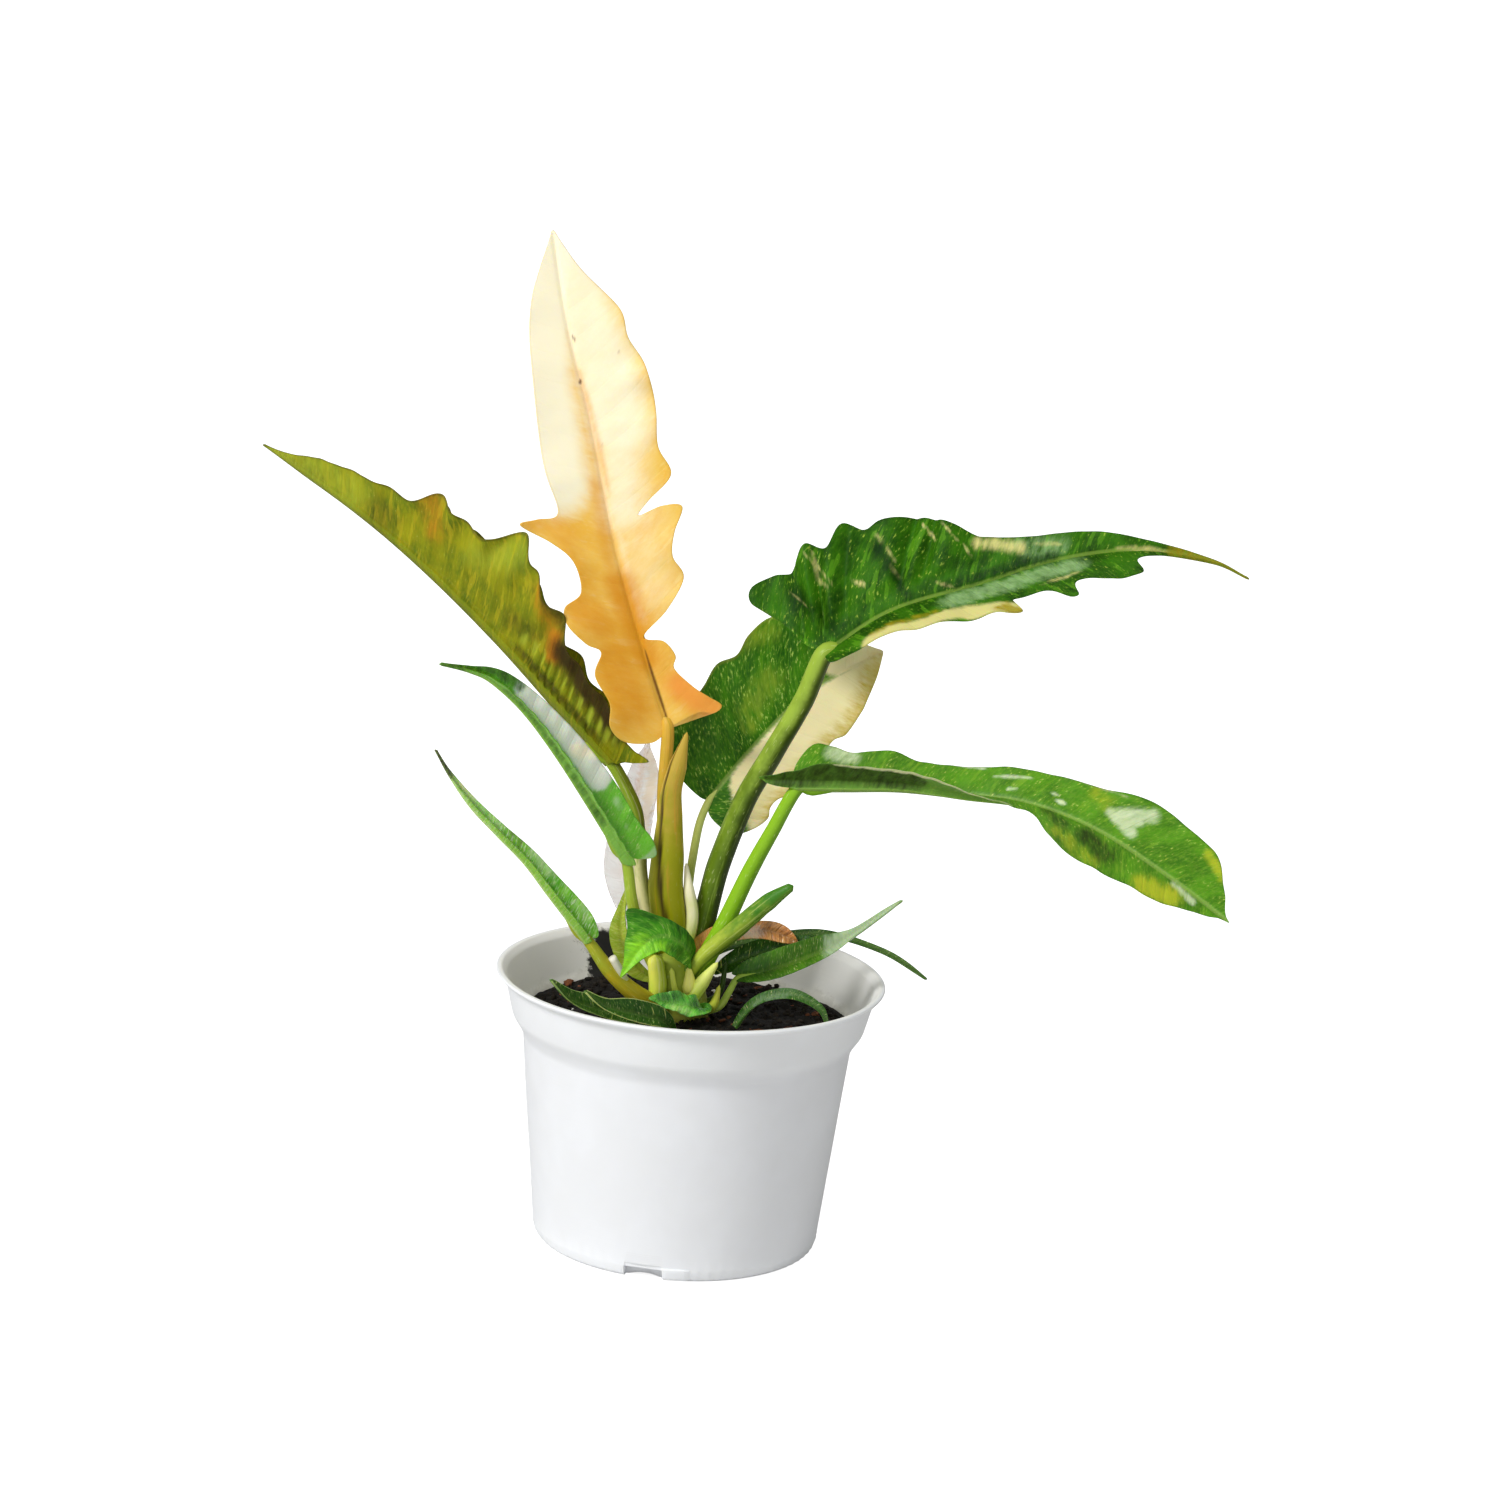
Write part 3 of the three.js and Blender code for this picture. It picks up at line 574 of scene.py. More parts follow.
@dataclass(frozen=True)
class LeafFinish:
    """The colours and sheen of one leaf blade.

    The slot is the record's material slot. Fields ending in share say how strongly a colour is
    laid on. Fields ending in level are noise levels above which a streak or fleck shows: higher
    means fewer. Widths and lengths are millimetres.
    """

    # Where the coloured edge starts and is full, as a share of the way from rib to margin
    EDGE_BAND = (0.955, 0.995)
    CLOUD_PART = 0.35
    DEPTH_PART = 0.65
    GRAIN_RELIEF = 0.35
    UNDER_ROUGHER = 0.14
    RELIEF = 0.3
    MARK_SEED_STEP = 3.0

    slot: str
    ground: Paint
    ground_deep: Paint
    under: Paint
    rib: Paint
    vein: Paint
    tints: tuple[Paint, Paint, Paint, Paint] = ("f0e4b4", "e8a63c", "6a3a18", "3a2a10")
    streak: Paint = "cfd67a"
    fleck: Paint = "dfe6a0"
    edge: Paint = "2c5410"
    under_share: float = 0.6
    rib_share: float = 0.5
    vein_share: float = 0.15
    mottle_share: float = 0.3
    streak_share: float = 0.8
    fleck_share: float = 0.8
    edge_share: float = 0.3
    streak_level: float = 0.66
    fleck_level: float = 0.6
    fleck_length: float = 1.8
    cloud_size: float = 14.0
    tear: float = 2.2
    seed: float = 0.0
    rib_width: float = 1.3
    vein_width: float = 0.7
    roughness: float = 0.42
    specular: float = 0.2
    glow: float = 0.35
    scatter: Triple = (0.45, 1.0, 0.08)
    scatter_reach: float = 1.4
    bump: float = 0.3
    opacity: float = 1.0

    def dress(self, name: str, pitch: float, effects: Effects) -> Material:
        """Makes the material.

        Args:
            name: The leaf's name.
            pitch: The distance between its side veins.
            effects: The shared node groups.

        Returns:
            The material.
        """
        surface = Surface(name)
        w = surface.wiring
        place = w.painted("leaf_place")
        share, under, last_mark = w.split(w.painted("leaf_part"))
        marks = [*w.split(w.painted("leaf_marks")), last_mark]
        veins = w.group(effects.side_veins, place=place, pitch=pitch, width=self.vein_width,
                        rib_width=self.rib_width)
        pattern = w.group(effects.variegation, place=place, seed=self.seed, streak_level=self.streak_level,
                          fleck_level=self.fleck_level, fleck_length=self.fleck_length)
        clouds = w.group(effects.clouding, place=place, size=self.cloud_size, seed=self.seed)
        deep = w.times(pattern["Depth"], self.DEPTH_PART)
        deep = w.maths("MULTIPLY_ADD", clouds["Cloud"], self.CLOUD_PART, deep)
        colour = w.blend(deep, self.ground, self.ground_deep)
        for mask, strength, tint in (
            (pattern["Mottle"], self.mottle_share, self.vein),
            (pattern["Streak"], self.streak_share, self.streak),
            (pattern["Fleck"], self.fleck_share, self.fleck),
            (veins["Vein"], self.vein_share, self.vein),
            (under, self.under_share, self.under),
            (veins["Rib"], self.rib_share, self.rib),
        ):
            colour = w.cover(colour, mask, strength, tint)
        for layer, (mark, tint) in enumerate(zip(marks, self.tints)):
            seed = self.seed + self.MARK_SEED_STEP * layer
            torn = w.group(effects.ragged_mark, mark=mark, place=place, seed=seed, tear=self.tear)
            colour = w.blend(torn["Mark"], colour, tint)
        colour = w.blend(w.fade(share, *self.EDGE_BAND, 0.0, self.edge_share), colour, self.edge)
        worn = w.worn(clouds["Grain"], self.roughness, 0.06, 0.08)
        rough = w.maths("MULTIPLY_ADD", under, self.UNDER_ROUGHER, worn)
        height = w.maths("MULTIPLY_ADD", clouds["Grain"], self.GRAIN_RELIEF, veins["Height"])
        return surface.finish(colour, rough, (height, self.bump, self.RELIEF), {
            "Specular IOR Level": self.specular,
            "Subsurface Weight": self.glow,
            "Subsurface Radius": self.scatter,
            "Subsurface Scale": self.scatter_reach * MM,
            "Alpha": self.opacity,
        })


@dataclass(frozen=True)
class StalkFinish:
    """The colours and sheen of one stalk, sheath or rolled leaf.

    The slot is the record's material slot. The change says where along the stalk its foot's colour goes
    over into that of its top. The painted shade is a darker colour laid on the right side of a stalk whose
    wide axis is +Y, the side that the light reaches less.
    """

    STRIPE_BAND = 0.12
    SPECK_BAND = (0.66, 0.72)
    SPECK_SHIFT = 9.0
    PAINTED_SHADE_BAND = (0.45, -0.5)
    SCATTER = (0.9, 1.0, 0.3)
    SCATTER_REACH = 1.2

    slot: str
    foot: Paint
    top: Paint
    stripe: Paint
    seam: Paint = "5a4a12"
    stripe_share: float = 0.35
    stripe_level: float = 0.55
    speck: Paint = "dfe6a0"
    speck_share: float = 0.25
    seed: float = 0.0
    change: tuple[float, float] = (0.1, 0.8)
    # Painted shade: a darker colour on one side of the stalk, and how strongly it is laid on
    painted_shade: Paint = "4a5a10"
    painted_shade_share: float = 0.0
    roughness: float = 0.36
    glow: float = 0.1

    def dress(self, name: str, effects: Effects) -> Material:
        """Makes the material.

        Args:
            name: The stalk's name.
            effects: The shared node groups.

        Returns:
            The material.
        """
        surface = Surface(name)
        w = surface.wiring
        share, seam, along = w.split(w.painted("stalk_part"))
        around_x, around_y, _ = w.split(w.painted("stalk_round"))

        def drawn(lanes: float, pace: float, shift: float, detail: float, rough: float) -> Socket:
            """Noise in lanes round the stalk, drawn out along it."""
            lane = w.join(w.times(around_x, lanes), w.times(around_y, lanes),
                          w.maths("MULTIPLY_ADD", along, pace, self.seed + shift))
            return w.noise(lane, 1.0, detail, rough)

        stripes = drawn(3.2, 0.035, 0.0, 4.0, 0.6)
        stripes = w.fade(stripes, self.stripe_level, self.stripe_level + self.STRIPE_BAND)
        specks = w.fade(drawn(5.0, 0.28, self.SPECK_SHIFT, 1.0, 0.5), *self.SPECK_BAND)
        place = w.join(around_x, around_y, w.times(along, 0.2))
        clouds = w.group(effects.clouding, place=place, size=1.6, seed=self.seed)
        wander = w.maths("MULTIPLY_ADD", w.maths("SUBTRACT", clouds["Cloud"], 0.5), 0.25, share)
        colour = w.blend(w.fade(wander, *self.change), self.foot, self.top)
        # Painted shade on one side of the stalk, with a cloudy edge
        painted_shade = w.maths("MULTIPLY_ADD", clouds["Cloud"], 0.3, around_y)
        painted_shade = w.fade(painted_shade, *self.PAINTED_SHADE_BAND, 0.0, self.painted_shade_share)
        colour = w.blend(painted_shade, colour, self.painted_shade)
        colour = w.cover(colour, stripes, self.stripe_share, self.stripe)
        colour = w.cover(colour, specks, self.speck_share, self.speck)
        colour = w.blend(seam, colour, self.seam)
        rough = w.worn(clouds["Grain"], self.roughness, 0.06, 0.1)
        height = w.maths("MULTIPLY_ADD", clouds["Grain"], 0.5, stripes)
        return surface.finish(colour, rough, (height, 0.25, 0.25), {
            "Specular IOR Level": 0.22,
            "Subsurface Weight": self.glow,
            "Subsurface Radius": self.SCATTER,
            "Subsurface Scale": self.SCATTER_REACH * MM,
        })


# Leaf blades


def unsteady_beat(along: Array, across: Array, pitch: float) -> Array:
    """Goes between 0 and 1 along the rib at a pitch that isn't quite even, and follows the veins.

    Args:
        along: Lengths along the rib.
        across: Distances from it, negative on the left half.
        pitch: The length of one beat.

    Returns:
        A value for each place.
    """
    foot = along - Blade.VEIN_SWEEP * np.abs(across)
    return np.abs(np.sin(np.pi * (foot / pitch + 0.3 * np.sin(foot / 6.1))))


def window(value: Array, limits: tuple[float, float], low_soft: float, high_soft: float) -> Array:
    """Gives 1 between two limits and fades to 0 past them."""
    low, high = limits
    rise = fade(value, low - low_soft, low + low_soft)
    return rise * (1 - fade(value, high - high_soft, high + high_soft))


@dataclass(frozen=True)
class Mark:
    """A brush stroke on the flat leaf. Some strokes are painted shade and painted highlights.

    The path lists places as [along the rib, across], where across is negative on the left half.
    The reach is half the stroke's width, and thin strokes taper towards their ends. A beat breaks
    the stroke up into spots along the rib.
    """

    THIN = 1.3
    TAPER = 0.8

    path: list[list[float]]
    reach: float
    soft: float = 1.5
    strength: float = 1.0
    beat: float = 0.0

    def shade(self, along: Array, across: Array) -> Array:
        """Gives how strongly the mark shows at places on the flat leaf."""
        here = np.stack([along, across], -1)
        points = np.array(self.path, float)
        lengths = np.linalg.norm(np.diff(points, axis=0), axis=1)
        taper = self.TAPER if self.reach < self.THIN else 0.0
        inside = np.full(along.shape, -np.inf)
        passed = 0.0
        for start, end, length in zip(points[:-1], points[1:], lengths):
            step = end - start
            share = np.clip(((here - start) @ step) / length**2, 0.0, 1.0)
            from_middle = 2.0 * (passed + share * length) / lengths.sum() - 1.0
            distance = np.linalg.norm(here - start - share[..., None] * step, axis=-1)
            inside = np.maximum(inside, self.reach * (1.0 - taper * from_middle**2) - distance)
            passed += length
        shade = fade(inside, -self.soft, min(self.reach, self.soft))
        if self.beat:
            shade = shade * fade(unsteady_beat(along, across, self.beat), 0.4, 0.95)
        return self.strength * shade


@dataclass(frozen=True)
class Pleats:
    """Tight folds beside the rib: where they lie along and across, their pitch and height."""

    along: tuple[float, float]
    across: tuple[float, float]
    pitch: float
    height: float

    def swell(self, along: Array, across: Array) -> Array:
        """Gives how far the pleats stand out, where across is signed."""
        foot = along - Blade.VEIN_SWEEP * np.abs(across)
        share = window(foot, self.along, 5, 6) * window(across, self.across, 2, 3)
        return self.height * share * (unsteady_beat(along, across, self.pitch) - 0.5)


@dataclass(frozen=True)
class Wave:
    """A regular swell across a blade: its height and length, and how far out it is full."""

    height: float
    length: float
    full: float


@dataclass(frozen=True)
class LeafForm:
    """The shape of one blade, as a leaf on its rib.

    The rib runs from the stalk to the tip. The face list gives where the upper side looks, evenly
    along the rib. The fold is how many degrees both halves rise from flat, also evenly along it,
    and fold_right is for a right half that differs. The margins list places on the flat leaf as
    [along the rib, out from the rib]. The quilt is how far the blade swells between side veins, the
    ruffle how far its margin waves, and the tip how much of its end is drawn out. Fine is the
    length of one face along the margin. The node is the solid that the blade stands for, where
    that has another name.
    """

    name: str
    rib: list[list[float]]
    face: list[list[float]]
    fold: list[float]
    left: list[list[float]]
    right: list[list[float]]
    keel: float
    fold_right: list[float] | None = None
    wave: Wave | None = None
    quilt: float = 0.45
    ruffle: float = 0.7
    ruffle_length: float = 24.0
    vein_pitch: float = 11.0
    fine: float = 1.0
    pleats: Pleats | None = None
    marks: dict[Tint, list[Mark]] = field(default_factory=dict)
    tip: float = 0.0
    node: str = ""
    seed: int = 1


@dataclass(frozen=True)
class YoungLeafForm(LeafForm):
    """A small leaf, bract or sheath, with closer veins and a calmer face."""

    quilt: float = 0.2
    ruffle: float = 0.25
    ruffle_length: float = 13.0
    vein_pitch: float = 5.0
    fine: float = 0.8


# Shares of the way from rib to margin where a blade's rows have corners, close together at the rib
COLUMN_SHARES = np.array([0.012, 0.03, 0.05, 0.075, 0.105, 0.14, 0.18, 0.22, 0.265, 0.31, 0.355, 0.4,
                          0.445, 0.49, 0.535, 0.58, 0.625, 0.67, 0.715, 0.76, 0.8, 0.84, 0.88, 0.92,
                          0.955, 0.98, 1.0])


class Blade:
    """One leaf blade: an upper side, an underside with a keel, and a round margin."""

    THICK = 0.75
    EDGE_THICK = 0.42
    STATION = 0.5
    RIB_GROOVE = 0.45
    GROOVE_REACH = 1.1
    # Side veins lean towards the tip and bend, and their spacing wanders
    VEIN_SWEEP = 0.45
    VEIN_BEND = 0.004
    VEIN_WANDER = 2.2
    VEIN_RIDGE = 0.22
    # How far the right half's veins are out of step with the left half's
    HALF_SHIFT = 0.37
    LUMP = 0.22
    # Sizes of the swells of noise that make vein spacing, quilting, lumps and ruffles uneven
    WANDER_SIZE = 17.0
    QUILT_SIZE = 30.0
    LUMP_SIZE = 9.0
    RUFFLE_SIZE = 40.0
    RUFFLE_FULL = 28.0
    KEEL_AT_TIP = 0.35
    # Half the keel's width where it has no depth, and how much wider a deeper one is
    KEEL_HALF = 0.9
    KEEL_SPREAD = 0.95
    RIDGE_WIDTH = 0.8
    TIP_WIDTH = 0.2
    PROBE = 0.4

    def __init__(self, form: LeafForm) -> None:
        """Reads the rib and works out its axes at close steps."""
        self.form = form
        self.line = SmoothLine(form.rib)
        self.length = self.line.length
        self.noise = Unevenness(form.seed)
        count = max(4, round(self.length / self.STATION))
        self.steps = np.linspace(0.0, self.length, count + 1)
        self.points = self.line.at(self.steps)
        self.tangents = self.line.heading(self.steps)
        looks = spread(form.face, self.steps / self.length)
        looks = looks - (looks * self.tangents).sum(-1, keepdims=True) * self.tangents
        self.ups = unit(looks)
        self.outs = np.cross(self.tangents, self.ups)

    def _read(self, table: Array, along: Array) -> Array:
        """Reads a table of vectors that is kept at the rib's steps."""
        return between(along, self.steps, table)

    def vein_count(self, along: Array, across: Array, side: int = Side.LEFT.value) -> Array:
        """Counts side veins up the rib, for a place anywhere on the blade. Whole numbers are veins."""
        foot = along - self.VEIN_SWEEP * across - self.VEIN_BEND * across**2
        uneven = self.noise.at(np.stack([foot, foot * 0, foot * 0], -1), self.WANDER_SIZE)
        return (foot + self.VEIN_WANDER * uneven) / self.form.vein_pitch + self.HALF_SHIFT * (side > 0)

    def relief(self, along: Array, across: Array, side: int) -> Array:
        """How far the blade stands out of its smooth surface: quilting, ruffles and small lumps."""
        form = self.form
        cushion = np.sin(np.pi * self.vein_count(along, across, side)) ** 2 - 0.5
        uneven = self.noise.at(self._flat(along, across, side), self.QUILT_SIZE)
        strength = fade(across, 1.0, 7.0) * (1.0 + 0.5 * uneven)
        lumps = self.noise.layered(self._flat(along, across * 0.5, side), self.LUMP_SIZE, 2)
        drift = self.noise.at(self._flat(along, across * 0.0, side), self.RUFFLE_SIZE)
        wave = np.sin(2 * np.pi * along / form.ruffle_length + 2.5 * drift)
        reach = np.minimum(across / self.RUFFLE_FULL, 1.1) ** 2
        swell = form.quilt * cushion * strength + self.LUMP * lumps * fade(across, 1.0, 8.0)
        if form.pleats:
            swell = swell + form.pleats.swell(along, across * side)
        groove = self.RIB_GROOVE * np.exp(-(across / self.GROOVE_REACH) ** 2)
        return swell + form.ruffle * wave * reach - groove

    @staticmethod
    def _flat(along: Array, across: Array, side: int) -> Array:
        """Places on the flat leaf, each half in its own layer of noise."""
        return np.stack([along, across * side, np.full_like(along, 40.5 * side)], -1)

    def surface(self, along: Array, across: Array, side: int, detail: bool = True) -> Array:
        """Gives places on the upper side.

        Args:
            along: Lengths along the rib, which may run past its ends.
            across: Distances out from the rib, never negative.
            side: 1 for the right half and -1 for the left one.
            detail: Whether to add the relief.

        Returns:
            Points in millimetres.
        """
        form = self.form
        inside = np.clip(along, 0.0, self.length)
        share = inside / self.length
        tangent = unit(self._read(self.tangents, inside))
        up = unit(self._read(self.ups, inside))
        out = unit(self._read(self.outs, inside))
        fold = form.fold_right if side > 0 and form.fold_right else form.fold
        fold = np.radians(spread(fold, share))
        rise = across * np.sin(fold)
        if form.wave:
            turn = np.sin(2 * np.pi * (along / form.wave.length))
            rise = rise + np.minimum(across / form.wave.full, 1.2) ** 2 * form.wave.height * turn
        place = self._read(self.points, inside) + tangent * (along - inside)[..., None]
        place = place + out * (side * across * np.cos(fold))[..., None] + up * rise[..., None]
        if detail:
            face = up * np.cos(fold)[..., None] - out * (side * np.sin(fold))[..., None]
            place = place + face * self.relief(along, across, side)[..., None]
        return place

    def normal(self, along: Array, across: Array, side: int) -> Array:
        """Gives the directions that the upper side faces."""
        here = self.surface(along, across, side)
        onward = self.surface(along + self.PROBE, across, side) - here
        outward = self.surface(along, across + self.PROBE, side) - here
        return unit(np.cross(outward, onward)) * side

    def depth(self, along: Array, across: Array, share: Array) -> Array:
        """How far the underside lies below the upper side: thin at the margin, with a keel at the rib."""
        length_share = np.clip(along / self.length, 0.0, 1.0)
        keel = self.form.keel * (1.0 - length_share) + self.KEEL_AT_TIP
        half_width = self.KEEL_HALF + self.KEEL_SPREAD * keel
        bulge = keel * np.sqrt(np.clip(1.0 - (across / half_width) ** 2, 0.0, 1.0))
        count = self.vein_count(along, across)
        from_vein = np.abs(count - np.round(count)) * self.form.vein_pitch
        ridge = self.VEIN_RIDGE * np.exp(-((from_vein / self.RIDGE_WIDTH) ** 2))
        ridge = ridge * (1.0 - share) * fade(across, 0.0, 3.0)
        thick = self.THICK + (self.EDGE_THICK - self.THICK) * share + bulge + ridge
        return thick * (0.5 + 0.5 * self._tip_share(along))

    def _tip_share(self, along: Array) -> Array:
        """How much of the outline's width is left where the leaf is drawn out to a fine tip."""
        if not self.form.tip:
            return np.ones_like(along)
        drawn = fade(self.length - along, 0.0, self.form.tip)
        return self.TIP_WIDTH + (1.0 - self.TIP_WIDTH) * drawn

    def _rows(self, side: int) -> tuple[Array, Array, Array]:
        """Walks the margin and finds where the row to each of its places leaves the rib.

        Args:
            side: 1 for the right half and -1 for the left one.

        Returns:
            Lengths along the rib of the rows' feet, then of their ends, and how far out these lie.
        """
        outline = self.form.right if side > 0 else self.form.left
        knots = np.array([[0.0, 0.0], *outline, [self.length, 0.0]])
        gaps = np.linalg.norm(np.diff(knots, axis=0), axis=1)
        margin = through(knots, [max(2, round(gap / self.form.fine)) for gap in gaps])
        along = margin[1:-1, 0]
        across = np.maximum(margin[1:-1, 1] * self._tip_share(along), 0.05)
        foot = np.clip(along - self.VEIN_SWEEP * across, 0.0, self.length)
        return np.maximum.accumulate(foot), along, across

    def _values(self, along: Array, across: Array, side: int, share: Array | float,
                under: float) -> dict[str, Array]:
        """Works out what is painted on places of the blade."""
        signed = across * side
        shades = np.zeros(along.shape + (len(Tint),))
        for tint, marks in self.form.marks.items():
            layer = shades[..., tint.value]
            for mark in marks:
                layer[...] = np.maximum(layer, mark.shade(along, signed))
        part = np.stack(np.broadcast_arrays(share, under, shades[..., -1]), -1)
        place = np.stack([along, signed, self.vein_count(along, across, side)], -1)
        return {"leaf_place": place, "leaf_marks": shades[..., :-1], "leaf_part": part}

    def _half(self, skin: Skin, side: Side, rib_top: Array, rib_under: Array,
              ends: Array) -> None:
        """Adds one half of the blade to the mesh.

        Args:
            skin: The mesh in the making.
            side: Which half.
            rib_top: The corners along the rib's upper side.
            rib_under: The corners along its keel.
            ends: The two corners between upper side and keel, at the foot and at the tip.
        """
        way = side.value
        foot, along_end, across_end = self._rows(way)
        along = foot[:, None] + (along_end - foot)[:, None] * COLUMN_SHARES
        across = across_end[:, None] * COLUMN_SHARES
        share = np.broadcast_to(COLUMN_SHARES, along.shape)
        top = self.surface(along, across, way)
        normal = self.normal(along, across, way)
        below = top - normal * self.depth(along, across, share)[..., None]
        outward = unit(top[:, -1] - top[:, -2])
        rim = (top[:, -1] + below[:, -1]) / 2 + outward * self.EDGE_THICK * 0.45
        top_ids = skin.add(top, **self._values(along, across, way, share, 0.0))
        below_ids = skin.add(below, **self._values(along, across, way, share, 1.0))
        rim_ids = skin.add(rim, **self._values(along_end, across_end, way, 1.0, 0.5))
        stations = len(rib_top) - 1
        rows = np.round(foot / self.length * stations).astype(int)
        rows = np.concatenate([[0], rows, [stations]])

        def padded(grid: Array, rib: Array) -> Array:
            """Adds the rib's corners as a first column, and a row of each of its ends."""
            grid = np.vstack([np.full(grid.shape[1], rib[0]), grid, np.full(grid.shape[1], rib[-1])])
            return np.column_stack([rib[rows], grid])

        tops, belows = padded(top_ids, rib_top), padded(below_ids, rib_under)
        rims = np.concatenate([[ends[0]], rim_ids, [ends[1]]])
        flip = side is Side.LEFT
        cells = np.arange(stations)
        row = np.searchsorted(rows, cells, side="right") - 1
        for grid, rib, turned in ((tops, rib_top, flip), (belows, rib_under, not flip)):
            skin.cover(rib[cells], grid[row, 1], rib[cells + 1], flip=turned)
            skin.cover(grid[1:, 0], grid[:-1, 1], grid[1:, 1], flip=turned)
            skin.strip(grid[:, 1:], flip=turned)
        skin.cover(tops[:-1, -1], rims[:-1], rims[1:], tops[1:, -1], flip=flip)
        skin.cover(rims[:-1], belows[:-1, -1], belows[1:, -1], rims[1:], flip=flip)

    def build(self, material: Material) -> Piece:
        """Makes the blade's mesh.

        Args:
            material: Its finish.

        Returns:
            The new piece.
        """
        skin = Skin(leaf_place=3, leaf_marks=3, leaf_part=3)
        along = np.linspace(0.0, self.length, max(8, round(self.length / self.form.fine)) + 1)
        none = np.zeros_like(along)
        up = unit(self._read(self.ups, along))
        top = self.surface(along, none, 1, False) - up * self.RIB_GROOVE
        below = top - up * self.depth(along, none, none)[:, None]
        rib_top = skin.add(top, **self._values(along, none, 1, 0.0, 0.0))
        rib_under = skin.add(below, **self._values(along, none, 1, 0.0, 1.0))
        middle = (top[[0, -1]] + below[[0, -1]]) / 2
        ends = skin.add(middle, **self._values(along[[0, -1]], none[:2], 1, 0.0, 0.5))
        for side in Side:
            self._half(skin, side, rib_top, rib_under, ends)
        return skin.build(f"{self.form.name}_blade", material)


